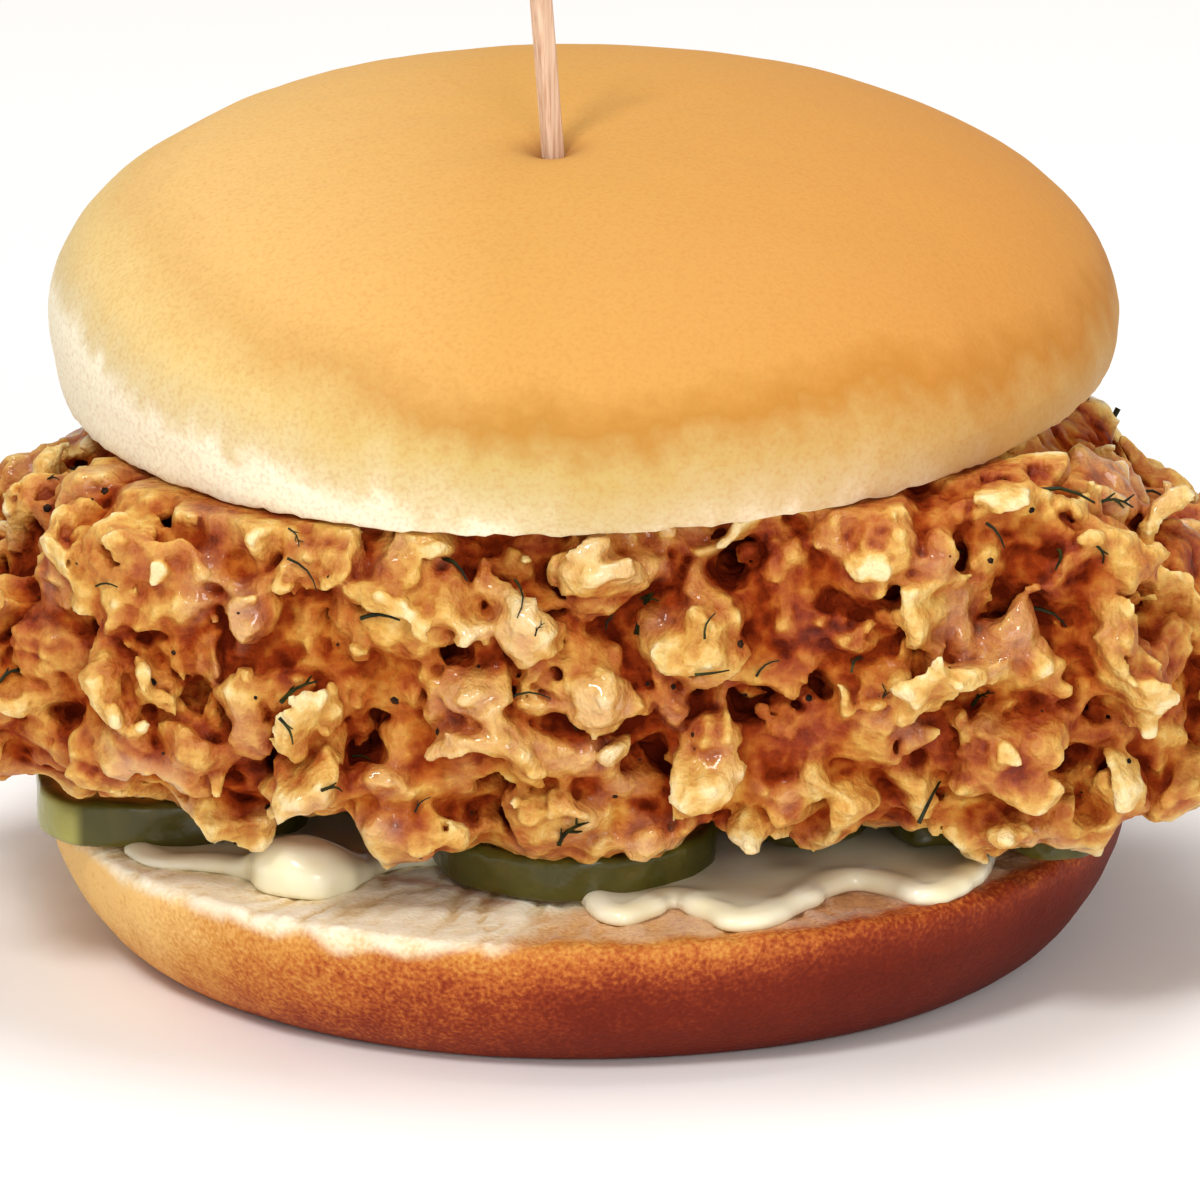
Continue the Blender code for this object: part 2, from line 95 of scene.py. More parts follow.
# Mayonnaise
SPREAD_THICKNESS = 1.0
LIP_HEIGHT = 1.0
DOLLOP = (-28.2, -34.8)
DOLLOP_RADIUS_SQUARED = 26.0
DOLLOP_HEIGHT = 3.2
SPREAD_CELL = 0.4
SPREAD_BOX = ((-50, -53, 13.6), (45, 37, 21.4))
SPREAD_OUTLINE = (
    (41, -14), (42, 0), (38, 14), (28, 25), (12, 31), (-6, 33), (-22, 28), (-33, 18), (-38, 4),
    (-40, -10), (-44, -19), (-46.5, -24.5), (-43.5, -29), (-38.5, -30.5), (-34.8, -32.5),
    (-32, -37.5), (-27.8, -39.6), (-23.6, -37.5), (-20.8, -32.5), (-17, -29), (-10, -29.5),
    (-4.5, -33), (-1.5, -39.5), (0.8, -45.8), (3.6, -47.8), (6.4, -45.6), (8.6, -42.4),
    (10.6, -45.4), (13, -49), (16, -49.6), (19, -47.2), (22.5, -41.8), (26.3, -37), (29.5, -38.6),
    (32.5, -41.6), (36, -40.3), (39.3, -34.5), (40.8, -25),
)

# Pickle slices: centre x and y, half-width, half-depth, lowest z, thickness, turn in degrees, squareness
PICKLES = (
    (-41.6, -11.5, 13.8, 13.4, 14.8, 4.9, 2.0, 3.6), (-1.2, -28.2, 14.2, 14.0, 14.8, 4.7, 0.0, 2.0),
    (21.4, -16.5, 7.1, 12.6, 16.1, 4.0, 4.0, 2.3), (34.4, -17.0, 5.3, 12.4, 16.1, 4.0, 2.0, 2.3),
    (46.2, -22.5, 5.3, 10.8, 16.1, 4.4, 3.0, 2.3),
)
PICKLE_CELL = 0.32

# Fillet: the same blank and crags as the solid has
BLANK_CENTRE = Vector((1.0, 0.0, 41.1))
BLANK_HALF = Vector((66.0, 48.0, 20.1))
BLANK_FRONT_POWER = 2.7
BLANK_BACK_POWER = 2.1
BLANK_SIDE_POWER = 4.6
END_DROOP = 0.86
BACK_END_DROOP = 0.65
DROOP_START = 32.0
DROOP_LENGTH = 30.0
END_SAG = 5.0
BACK_END_SAG = 9.0
# The crust's edges seen from the front: how far right and above
UPPER_EDGE = (
    (-66, -1), (-58.5, 3.6), (-54, 3.7), (-51.3, 6.6), (-48, 11), (-46, 40), (46, 40), (48, 13),
    (51, 9.8), (55, 5), (57.7, 2.6), (61.2, 0.2), (66, -3),
)
FILLET_SEED = 7
FRONT_CRAGS = (
    (-56.6, -1.1, 4.4), (-47, -1.1, 5.0), (-45.5, -6.6, 5.0), (-33.4, -10.2, 4.3),
    (-28.9, -7.2, 4.6), (-19.3, -11.2, 4.2), (-15.3, -10.2, 4.0), (-6.7, -11.2, 5.0),
    (5.3, -8.2, 5.2), (11.9, -10.2, 4.6), (17.9, -7.2, 4.6), (27.5, -4.1, 4.7), (30, -11.7, 4.3),
    (41.6, -3.1, 5.6), (48.1, -8.2, 6.5), (57.7, -1.1, 4.2), (56.7, -7.7, 5.0), (-53.1, -15.2, 4.7),
    (-58.1, -19.2, 4.4), (-44, -18.2, 5.1), (-38.5, -15.2, 3.4), (-33.9, -22.3, 5.0),
    (-28.9, -20.2, 4.3), (-23.9, -17.2, 4.6), (-16.8, -16.2, 3.7), (-11.8, -21.2, 4.6),
    (-2.7, -15.2, 5.0), (2.3, -17.7, 4.3), (7.9, -21.8, 4.2), (11.4, -15.2, 4.9),
    (13.6, -23.8, 4.7), (20.4, -15.2, 4.9), (29.5, -19.7, 4.6), (35.5, -13.2, 4.3),
    (42.6, -23.8, 5.4), (49.6, -15.7, 5.8), (55.2, -17.2, 4.9), (60.2, -13.2, 4.2),
    (-57.1, -25.8, 5.2), (-48, -25.3, 5.6), (-40, -25.8, 4.2), (-36.0, -32.4, 4.4),
    (-25.9, -28.8, 5.2), (-15.6, -31.4, 5.0), (-19.4, -35.2, 4.4), (-10.3, -34.2, 4.8),
    (-4.7, -25.8, 5.6), (1.3, -31.4, 5.0), (4.2, -35.4, 4.4), (-3.6, -34.2, 4.2),
    (10.4, -31.0, 4.8), (18.4, -33.4, 4.6), (25, -31.6, 4.6), (29, -32.0, 4.8), (36.6, -30.6, 5.0),
    (41.6, -34.0, 4.6), (47.1, -32.6, 5.0), (52.7, -32.2, 4.8), (58.2, -28.4, 5.0),
    (61.2, -30.0, 4.2),
)
FRONT_HALF_ANGLE = 62.0
BACK_CRAGS = 95
BACK_CRAG_RADII = (4.0, 6.4)
BACK_CRAG_LEVELS = (-0.95, 0.7)
SMALL_CRAGS = 190
SMALL_CRAG_RADII = (2.2, 3.3)
CRAG_SINK = 0.3
CRAG_SHARES = ((0.95, 1.15), (0.75, 1.0), (0.6, 0.85))
CRAG_ROUGHNESS = 0.45
# Hollows between the front crags: how far right and above they look, and radius
HOLLOWS = (
    (-37.5, -20.3, 2.6), (-41, -1.5, 3.0), (-32, -5.5, 2.4), (-24.5, -13.3, 2.4), (-15, -21.5, 2.6),
    (-12.8, -16.2, 2.2), (-0.7, -8.2, 2.4), (14.5, -7.2, 2.4), (17.5, -21.4, 2.6),
    (10.5, -18.0, 2.0), (24.5, -28.3, 2.6), (32, -25.8, 2.8), (35.5, -8.2, 2.8), (30.6, -7.2, 2.0),
    (37.6, -18.5, 2.4), (41.6, -14.2, 2.6), (50.7, -21.4, 2.8), (54.7, -12.2, 2.4),
    (-51.6, -10.5, 2.6), (-53.1, -21.3, 2.6), (-48, -13.3, 2.4), (-29.9, -26.0, 2.4),
    (-20.5, -25.0, 2.6), (-8.0, -29.5, 2.2), (5.4, -26.4, 2.2), (22.5, -20.0, 2.6),
    (46.5, -27.5, 2.6), (-43.5, -29.5, 2.4), (-5.5, -19.5, 2.0), (8.0, -13.5, 2.0),
)
FILLET_CELL = 0.42
FILLET_BOX = ((-76, -57, 15.5), (78, 57, 63.5))
# How far the warps move the shapes, and the size of their waves
WARP, WARP_WAVE = 1.5, 5.5
FLAKE_WARP, FLAKE_WARP_WAVE = 0.75, 2.0
# How softly crags and flakes run into each other, crumbs into the crust, and hollows into its skin
BLEND, CRUMB_BLEND, HOLLOW_BLEND, EDGE_BLEND = 0.5, 0.3, 0.6, 1.2
MORE_HOLLOWS = 60
MORE_HOLLOW_RADII = (1.3, 2.3)
FLAKES = 430
FLAKE_SIZES = (2.4, 6.2)
FLAKE_SHARES = (0.15, 0.27)
CRUMBS = 420
CRUMB_SIZES = (0.5, 1.3)
LOWER_EDGE = (
    (-64, -27), (-57, -29), (-47.5, -29.2), (-40.3, -30.4), (-38.8, -32.8), (-36.9, -34.9),
    (-31.8, -34.3), (-29.5, -31.8), (-23.2, -32.1), (-21, -35.2), (-19.8, -36.8), (-15.4, -36.4),
    (-8.5, -34.1), (-5.6, -35.2), (1.3, -35.4), (5.2, -36.4), (9.1, -34.8), (11, -32.5),
    (14, -33.5), (20.8, -35.1), (23.7, -33.9), (25.7, -32.9), (30.6, -32.5), (35, -33.1),
    (36.9, -35.4), (40.3, -35.9), (45.2, -34.5), (50.6, -35.7), (53, -31.8), (58, -31.8), (66, -30),
)
BORDERS = (-99.0, -52.0, -37.0, -22.0, -7.5, 7.5, 22.0, 37.0, 52.0, 99.0)
BORDER_LAP = 1.4
BORDER_SINK = 0.25

# Dill on the crust, as it lies in the photo: pixel across, pixel down, angle in degrees, length in pixels
DILL = (
    (294, 538, -60, 22), (302, 574, -50, 44), (449, 570, -45, 40), (381, 618, 5, 35),
    (516, 600, -88, 44), (539, 630, 50, 16), (529, 698, 0, 46), (566, 717, -42, 30),
    (287, 730, -72, 32), (300, 694, 45, 36), (361, 760, -35, 16), (666, 598, 53, 86),
    (643, 604, 5, 27), (611, 621, 60, 18), (990, 533, -45, 34), (960, 555, 35, 32),
    (859, 663, 55, 24), (768, 668, 35, 24), (712, 670, -5, 30), (888, 696, 75, 24),
    (1057, 561, -72, 40), (1098, 554, -75, 32), (1047, 618, -38, 52), (1113, 506, -3, 36),
    (1151, 497, 13, 32), (1059, 501, 0, 60), (54, 482, -28, 22), (14, 677, 30, 30),
    (108, 586, 5, 20), (423, 804, 45, 20), (574, 831, 60, 40), (929, 799, 12, 52),
    (710, 625, 70, 24), (330, 790, -20, 26), (985, 700, 15, 30),
)
PEPPER = (
    (105, 491), (153, 682), (174, 653), (47, 508), (740, 644), (745, 694), (809, 698), (693, 735),
    (1130, 422), (1032, 510), (478, 667), (438, 732), (235, 843), (268, 807), (615, 796),
    (395, 700), (640, 760), (990, 560),
)
SCATTERED_DILL = 110
SCATTERED_DILL_LENGTHS = (1.8, 5.5)
LONG_DILL = 4.4
SCATTERED_PEPPER = 230

# Where the pick goes into the crown
PICK_ENTRY = Vector((-3.5, -10.5, 84.3))


def linear(hex_code):
    """A colour's linear red, green, blue and alpha from its sRGB hex code."""
    parts = [int(hex_code[k : k + 2], 16) / 255 for k in (0, 2, 4)]
    return tuple(p / 12.92 if p <= 0.04045 else ((p + 0.055) / 1.055) ** 2.4 for p in parts) + (1.0,)


def add(tree, kind, sockets=None, stops=None, **settings):
    """A new node with its settings, socket values or links, and colour stops."""
    node = tree.nodes.new(kind)
    for name, value in settings.items():
        setattr(node, name, value)
    for name, value in (sockets or {}).items():
        if isinstance(value, bpy.types.NodeSocket):
            tree.links.new(value, node.inputs[name])
        else:
            node.inputs[name].default_value = value
    if stops:
        ramp = node.color_ramp
        while len(ramp.elements) < len(stops):
            ramp.elements.new(0.5)
        for element, (position, colour) in zip(ramp.elements, stops):
            element.position = position
            element.color = linear(colour) if isinstance(colour, str) else (colour, colour, colour, 1.0)
    return node


def total(tree, offset, *terms):
    """The sum of sockets, each times its weight, and an offset."""
    result = offset
    for socket, weight in terms:
        sockets = {0: socket, 1: weight, 2: result}
        result = add(tree, "ShaderNodeMath", sockets, operation="MULTIPLY_ADD").outputs[0]
    return result


def layered(tree, colour, *layers):
    """A colour with tints laid over it in turn, each by its own share."""
    for share, tint in layers:
        sockets = {0: share, 6: colour, 7: linear(tint)}
        colour = add(tree, "ShaderNodeMix", sockets, data_type="RGBA").outputs[2]
    return colour


def new_material(name):
    """A material, its empty tree, and the place on the piece that its patterns read."""
    made = bpy.data.materials.new(name)
    made.use_nodes = True
    tree = made.node_tree
    tree.nodes.clear()
    return made, tree, add(tree, "ShaderNodeTexCoord").outputs["Object"]


def finished(made, tree, sockets):
    """The material, once its tree has a shader with these values and links, and an output."""
    shader = add(tree, "ShaderNodeBsdfPrincipled", sockets)
    add(tree, "ShaderNodeOutputMaterial", {"Surface": shader.outputs[0]})
    return made


def mesh_piece(name, points_mm, faces, material, replaced, attributes=None):
    """A smooth piece from arrays, on the root body, in place of a solid."""
    mesh = bpy.data.meshes.new(name)
    mesh.from_pydata(np.asarray(points_mm, np.float64) * MM, [], faces)
    for label, values in (attributes or {}).items():
        data = mesh.attributes.new(label, "FLOAT", "POINT").data
        data.foreach_set("value", np.asarray(values, np.float32))
    mesh.materials.append(material)
    mesh.shade_smooth()
    piece = bpy.data.objects.new(name, mesh)
    bpy.context.scene.collection.objects.link(piece)
    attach(piece, "root")
    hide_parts(replaced)


# Noise in arrays: points are (..., 3), and a spot of soft noise is 1 across

TABLE = np.random.default_rng(3).random(1 << 16, np.float32)


def table_at(x, y, z, seed):
    """The same chance value from 0 to 1 each time for a whole-numbered place and a seed."""
    return TABLE[(x * 73856093 ^ y * 19349663 ^ z * 83492791 ^ seed * 2654435) & 0xFFFF]


def soft_noise(points, seed=0):
    """Smooth noise from -1 to 1."""
    low = np.floor(points).astype(np.int64)
    part = (points - low).astype(np.float32)
    part = part * part * (3 - 2 * part)
    x, y, z = low[..., 0], low[..., 1], low[..., 2]
    total = 0.0
    for dx in (0, 1):
        wx = part[..., 0] if dx else 1 - part[..., 0]
        for dy in (0, 1):
            wy = part[..., 1] if dy else 1 - part[..., 1]
            for dz in (0, 1):
                wz = part[..., 2] if dz else 1 - part[..., 2]
                total = total + wx * wy * wz * table_at(x + dx, y + dy, z + dz, seed)
    return 2 * total - 1


def waves(points, *layers):
    """Soft noises added up, from (millimetres across, height, seed) each."""
    return sum(height * soft_noise(points / across, seed) for across, height, seed in layers)


def cell_noise(points, seed=0):
    """Distances to the nearest and second nearest of scattered spots, one spot a cell."""
    low = np.floor(points).astype(np.int64)
    part = (points - low).astype(np.float32)
    nearest = np.full(points.shape[:-1], 9.0, np.float32)
    second = nearest.copy()
    for dx in (-1, 0, 1):
        for dy in (-1, 0, 1):
            for dz in (-1, 0, 1):
                x, y, z = low[..., 0] + dx, low[..., 1] + dy, low[..., 2] + dz
                far = (dx + table_at(x, y, z, seed) - part[..., 0]) ** 2
                far += (dy + table_at(x, y, z, seed + 1) - part[..., 1]) ** 2
                far += (dz + table_at(x, y, z, seed + 2) - part[..., 2]) ** 2
                second = np.minimum(second, np.maximum(nearest, far))
                nearest = np.minimum(nearest, far)
    return np.sqrt(nearest), np.sqrt(second)


def ease(low, high, value):
    """0 up to the low value, 1 from the high one on, and smooth between them."""
    share = np.clip((value - low) / (high - low), 0, 1)
    return share * share * (3 - 2 * share)


# The fillet's field: millimetres from its skin, above 0 outside


def droop(x, y):
    """The share of its height that the blank's top keeps towards its ends."""
    past = np.clip((np.abs(x) - DROOP_START) / DROOP_LENGTH, 0, 1)
    lost = END_DROOP * past**1.5 + BACK_END_DROOP * past * np.maximum(0.0, y / BLANK_HALF.y)
    return np.maximum(0.12, 1 - lost)


def sag(x, y):
    """How far the blank hangs down towards its ends."""
    past = np.clip((np.abs(x) - DROOP_START) / DROOP_LENGTH, 0, 1)
    return END_SAG * past**2 + BACK_END_SAG * past * np.maximum(0.0, y / BLANK_HALF.y)


def blank_level(x, y, z):
    """0 at the blank's middle height, 1 at its top or foot, at places measured from its centre."""
    lower = sag(x, y)
    above = (z + lower) / (BLANK_HALF.z * droop(x, y))
    below = (z + lower) / (lower - BLANK_HALF.z)
    return np.where(z > -lower, above, below)


def plan_share(x, y):
    """0 on the blank's axis and 1 on its outline, seen from above."""
    power = np.where(y > 0, BLANK_BACK_POWER, BLANK_FRONT_POWER)
    return (np.abs(x / BLANK_HALF.x) ** power + np.abs(y / BLANK_HALF.y) ** power) ** (1 / power)


def blank_wall(angle, level):
    """The point of the blank at this angle and level."""
    share = (1 - min(0.98, abs(level)) ** BLANK_SIDE_POWER) ** (1 / BLANK_SIDE_POWER)
    radius = share / plan_share(math.cos(angle), math.sin(angle))
    x, y, z = radius * math.cos(angle), radius * math.sin(angle), level * BLANK_HALF.z
    lower = sag(x, y)
    return BLANK_CENTRE + Vector((x, y, z * (droop(x, y) if z > 0 else 1 - lower / BLANK_HALF.z) - lower))


def front_wall(right, above):
    """The point of the blank that looks this far right and above from the front."""
    x = right - BLANK_CENTRE.x
    nearest = None
    for step in range(90):
        y = -BLANK_HALF.y + step * 0.6
        z = (above - y * math.sin(VIEW_HEIGHT)) / math.cos(VIEW_HEIGHT) + LOOK_AT_HEIGHT - BLANK_CENTRE.z
        depth = plan_share(x, y) ** BLANK_SIDE_POWER + blank_level(x, y, z) ** BLANK_SIDE_POWER
        if nearest is None or depth < nearest[0]:
            nearest = (depth, Vector((x, y, z)))
        if depth < 1:
            break
    return BLANK_CENTRE + nearest[1]


def below_edge(spot, radius):
    """The spot, moved down so that a crag there stays under the crust's upper edge."""
    top = (spot.z + radius - LOOK_AT_HEIGHT) * math.cos(VIEW_HEIGHT) + spot.y * math.sin(VIEW_HEIGHT)
    over = max(0.0, top - np.interp(spot.x, *zip(*UPPER_EDGE)))
    return spot - Vector((0, 0, over / math.cos(VIEW_HEIGHT)))


def crag_places(draw):
    """Where the crags sit and their radii: those of the front by name, the rest at random."""
    places = [(front_wall(right, above), radius) for right, above, radius in FRONT_CRAGS]
    for _ in range(BACK_CRAGS):
        angle = math.radians(draw.uniform(FRONT_HALF_ANGLE, 360 - FRONT_HALF_ANGLE) - 90)
        spot, radius = blank_wall(angle, draw.uniform(*BACK_CRAG_LEVELS)), draw.uniform(*BACK_CRAG_RADII)
        places.append((below_edge(spot, radius), radius))
    for _ in range(SMALL_CRAGS):
        angle = draw.uniform(0, math.tau)
        spot, radius = blank_wall(angle, draw.uniform(-0.97, 0.97)), draw.uniform(*SMALL_CRAG_RADII)
        places.append((below_edge(spot, radius), radius))
    return places


def pixel_ray(across, down):
    """Where the photo's camera stands, and the direction in which it sees a pixel."""
    up = np.array((0, math.sin(VIEW_HEIGHT), math.cos(VIEW_HEIGHT)))
    back = np.array((0, -math.cos(VIEW_HEIGHT), math.sin(VIEW_HEIGHT)))
    eye = np.array((0, 0, LOOK_AT_HEIGHT)) + back * VIEW_DISTANCE
    right = (across - LOOK_AT_PIXEL[0]) / PIXELS_PER_MM
    above = (LOOK_AT_PIXEL[1] - down) / PIXELS_PER_MM
    ahead = up * above - back * VIEW_DISTANCE
    ahead[0] = right
    return eye, ahead / np.linalg.norm(ahead)


class Field:
    """A box of cells that hold the distance to a skin."""

    def __init__(self, low, high, cell):
        self.low, self.cell = np.array(low, np.float32), cell
        self.shape = tuple(int(math.ceil((b - a) / cell)) + 1 for a, b in zip(low, high))
        self.axes = [self.low[k] + cell * np.arange(self.shape[k], dtype=np.float32) for k in range(3)]
        self.value = np.full(self.shape, 9.0, np.float32)

    def places(self, ranges=None):
        """The cells' x, y and z, in the whole box or a block of it."""
        cut = ranges or [slice(None)] * 3
        return np.meshgrid(*(self.axes[k][cut[k]] for k in range(3)), indexing="ij", copy=False)

    def block(self, centre, reach):
        """The cells within reach of a place."""
        ranges = []
        for k in range(3):
            start = int((centre[k] - reach - self.low[k]) / self.cell)
            end = int((centre[k] + reach - self.low[k]) / self.cell) + 2
            ranges.append(slice(max(0, start), max(0, min(self.shape[k], end))))
        return tuple(ranges)

    def join(self, ranges, other, blend):
        """Adds a shape to a block, with a soft crease."""
        here = self.value[ranges]
        share = np.clip(0.5 + 0.5 * (here - other) / blend, 0, 1)
        self.value[ranges] = here * (1 - share) + other * share - blend * share * (1 - share)

    def take(self, ranges, other, blend):
        """Cuts a shape from a block, with a soft edge."""
        here = -self.value[ranges]
        share = np.clip(0.5 + 0.5 * (here - other) / blend, 0, 1)
        self.value[ranges] = -(here * (1 - share) + other * share - blend * share * (1 - share))

    def at(self, values, points):
        """Values of a box of the same shape at points, blended from the eight cells around."""
        spot = (points - self.low) / self.cell
        low = np.clip(np.floor(spot).astype(int), 0, np.array(self.shape) - 2)
        part = np.clip(spot - low, 0, 1).astype(np.float32)
        total = 0.0
        for dx in (0, 1):
            for dy in (0, 1):
                for dz in (0, 1):
                    weight = np.abs(1 - dx - part[:, 0]) * np.abs(1 - dy - part[:, 1])
                    weight = weight * np.abs(1 - dz - part[:, 2])
                    total = total + weight * values[low[:, 0] + dx, low[:, 1] + dy, low[:, 2] + dz]
        return total

    def hit(self, across, down):
        """The skin's place and outward direction that a pixel of the photo looks at."""
        eye, ahead = pixel_ray(across, down)
        steps = np.arange(1200.0, 1500.0, 0.15)[:, None]
        trail = eye + ahead * steps
        inside = np.flatnonzero(self.at(self.value, trail) < 0)
        if not len(inside):
            return None
        spot = trail[inside[0]]
        return spot, self.out(spot[None])[0]

    def out(self, spots):
        """Outward directions at places near the skin."""
        reach = 0.6
        ways = np.eye(3) * reach
        out = np.stack([self.at(self.value, spots + w) - self.at(self.value, spots - w) for w in ways], -1)
        return out / (np.linalg.norm(out, axis=1)[:, None] + 1e-6)

    def skin(self, values=None):
        """Points and faces of the surface where the values are 0."""
        values = self.value if values is None else values
        grid = openvdb.FloatGrid(3.0)
        grid.copyFromArray(np.ascontiguousarray(np.clip(values / self.cell, -3, 3), dtype=np.float32))
        points, quads = grid.convertToQuads(0.0)
        points = points * self.cell + self.low
        corners = points[quads]
        volume = np.einsum("ij,ij->i", corners[:, 0], np.cross(corners[:, 1], corners[:, 2])).sum()
        volume += np.einsum("ij,ij->i", corners[:, 0], np.cross(corners[:, 2], corners[:, 3])).sum()
        return points, quads if volume > 0 else quads[:, ::-1]


def blurred(values, cells):
    """A box blur over this many cells each way."""
    for axis in range(3):
        before = np.repeat(values.take([0], axis), cells + 1, axis)
        after = np.repeat(values.take([-1], axis), cells, axis)
        sums = np.cumsum(np.concatenate([before, values, after], axis), axis, dtype=np.float64)
        count = values.shape[axis]
        high = sums.take(range(2 * cells + 1, 2 * cells + 1 + count), axis)
        values = ((high - sums.take(range(count), axis)) / (2 * cells + 1)).astype(np.float32)
    return values


def warped_places(field, places, reach, wave, coarse, first_seed):
    """The cells' places, moved by noise so that no shape stays regular."""
    axes = [axis[::coarse] for axis in field.axes]
    spots = np.stack(np.meshgrid(*axes, indexing="ij"), -1) / wave
    moved = []
    for seed, base in enumerate(places, first_seed):
        shift = soft_noise(spots, seed) + 0.5 * soft_noise(spots * 2.1, seed + 5)
        for k in range(3):
            spread = np.linspace(0, shift.shape[k] - 1.001, field.shape[k])
            low = spread.astype(int)
            part = (spread - low).astype(np.float32).reshape([-1 if j == k else 1 for j in range(3)])
            high = np.minimum(low + 1, shift.shape[k] - 1)
            shift = shift.take(low, k) * (1 - part) + shift.take(high, k) * part
        moved.append(base + reach * shift.astype(np.float32))
    return moved


def glaze_share(points):
    """1 where the wet glaze lies thick, 0 where the crust is bare, with less of it on the right."""
    spread = waves(points, (9.0, 1.0, 31), (4.0, 0.5, 32))
    return ease(-0.15, 0.5, spread - 0.25 * ease(5, 30, points[..., 0]))


def crown_turn():
    return Matrix.Rotation(CROWN_TIP, 3, "X") @ Matrix.Rotation(-CROWN_ROLL, 3, "Y")


def fillet_field():
    """The blank with its crags, and the warped places that it is measured at."""
    field = Field(*FILLET_BOX, FILLET_CELL)
    x, y, z = warped_places(field, field.places(), WARP, WARP_WAVE, 4, 11)
    bx, by, bz = x - BLANK_CENTRE.x, y - BLANK_CENTRE.y, z - BLANK_CENTRE.z
    level = blank_level(bx, by, bz) ** BLANK_SIDE_POWER
    share = (plan_share(bx, by) ** BLANK_SIDE_POWER + level) ** (1 / BLANK_SIDE_POWER) - 1
    steep = np.sqrt(sum(part**2 for part in np.gradient(share, FILLET_CELL)))
    field.value = np.clip(share / np.maximum(steep, 0.012), -8, 8).astype(np.float32)
    draw = random.Random(FILLET_SEED)
    for number, (spot, radius) in enumerate(crag_places(draw)):
        inwards = (BLANK_CENTRE - spot).normalized()
        turn = Matrix.Rotation(draw.uniform(0, math.tau), 3, draw.choice("XYZ"))
        turn = turn @ Matrix.Rotation(draw.uniform(0, math.tau), 3, draw.choice("XYZ"))
        radii = np.array([radius * draw.uniform(*shares) for shares in CRAG_SHARES], np.float32)
        centre = spot + inwards * radius * CRAG_SINK
        ranges = field.block(centre, radius * 1.9)
        away = np.stack([axis[ranges] - c for axis, c in zip((x, y, z), centre)], -1)
        local = away @ np.array(turn, np.float32) / radii
        size = np.sqrt((local**2).sum(-1))
        outward = local / np.maximum(size, 1e-3)[..., None]
        lumps = soft_noise(outward * 1.6 + number * 3.1, 2) * 0.7 + soft_noise(outward * 3.4, number) * 0.4
        rough = 1 + CRAG_ROUGHNESS * lumps
        field.join(ranges, (size / rough - 1) * radii.min(), BLEND)
    return field, (x, y, z)


def skin_spots(field, rng, count):
    """Places scattered over the fillet's sides, each with the direction that points outwards."""
    near = np.argwhere(np.abs(field.value) < FILLET_CELL * 0.7)
    near = near[(near > 1).all(1) & (near < np.array(field.shape) - 2).all(1)]
    spots = near * field.cell + field.low
    near = near[plan_share(spots[:, 0] - BLANK_CENTRE.x, spots[:, 1]) > 0.72]
    near = near[rng.choice(len(near), count, replace=False)]
    out = np.empty((count, 3))
    for k in range(3):
        step = np.eye(3, dtype=int)[k]
        out[:, k] = field.value[tuple((near + step).T)] - field.value[tuple((near - step).T)]
    out /= np.linalg.norm(out, axis=1)[:, None] + 1e-6
    return near * field.cell + field.low, out


def add_flakes(field, places):
    """Thick flakes of crust that lie on the crags like scales, and small crumbs."""
    rng = np.random.default_rng(5)
    flakes = np.full(field.shape, 9.0, np.float32)
    for spot, out in zip(*skin_spots(field, rng, FLAKES)):
        size = rng.uniform(*FLAKE_SIZES)
        thickness = size * rng.uniform(*FLAKE_SHARES)
        tilt = rng.normal(size=3)
        normal = out + tilt / np.linalg.norm(tilt) * rng.uniform(0.2, 0.9)
        normal /= np.linalg.norm(normal)
        side = np.cross(normal, rng.normal(size=3))
        side /= np.linalg.norm(side)
        other = np.cross(normal, side)
        centre = spot + out * thickness * rng.uniform(0.0, 0.7)
        ranges = field.block(centre, size * 1.5)
        away = np.stack([axis[ranges] - c for axis, c in zip(places, centre)], -1)
        flat = (away @ side) ** 2 + (away @ other) ** 2
        depth = away @ normal + rng.uniform(-0.02, 0.09) * flat
        shape = np.abs(depth) - thickness
        for angle in np.arange(6) * math.tau / 6 + rng.uniform(-0.35, 0.35, 6):
            edge = away @ (side * math.cos(angle) + other * math.sin(angle)) - size * rng.uniform(0.5, 1.0)
            shape = soft_top(shape, edge, BLEND)
        flakes[ranges] = np.minimum(flakes[ranges], shape)
        field.join(ranges, shape, BLEND)
    for spot, out in zip(*skin_spots(field, rng, CRUMBS)):
        size = rng.uniform(*CRUMB_SIZES)
        ranges = field.block(spot, size * 2)
        away = np.stack([axis[ranges] - c for axis, c in zip(places, spot + out * size * 0.3)], -1)
        away = away * rng.uniform(0.8, 1.4, 3).astype(np.float32)
        field.join(ranges, np.sqrt((away**2).sum(-1)) - size, CRUMB_BLEND)
    return flakes


def soft_top(one, other, blend):
    """The larger of two distances, rounded where they meet."""
    share = np.clip(0.5 - 0.5 * (one - other) / blend, 0, 1)
    return one * (1 - share) + other * share + blend * share * (1 - share)


def dig_hollows(field, places):
    """Dark caves between the crags."""
    front = np.array((0, -1, 0))
    holes = [(np.array(front_wall(right, above)), front, radius) for right, above, radius in HOLLOWS]
    rng = np.random.default_rng(9)
    spots, outs = skin_spots(field, rng, MORE_HOLLOWS)
    holes += [(spot, out, rng.uniform(*MORE_HOLLOW_RADII)) for spot, out in zip(spots, outs)]
    for number, (spot, out, radius) in enumerate(holes):
        centre = spot + out * radius * 0.7
        ranges = field.block(centre, radius * 3.2)
        away = np.stack([axis[ranges] - c for axis, c in zip(places, centre)], -1)
        away -= 0.55 * (away @ out)[..., None] * out
        size = np.sqrt((away**2).sum(-1))
        rough = 1 + 0.5 * soft_noise(away / 2.2 + number * 5.3, 4)
        field.take(ranges, size - radius * rough, HOLLOW_BLEND)


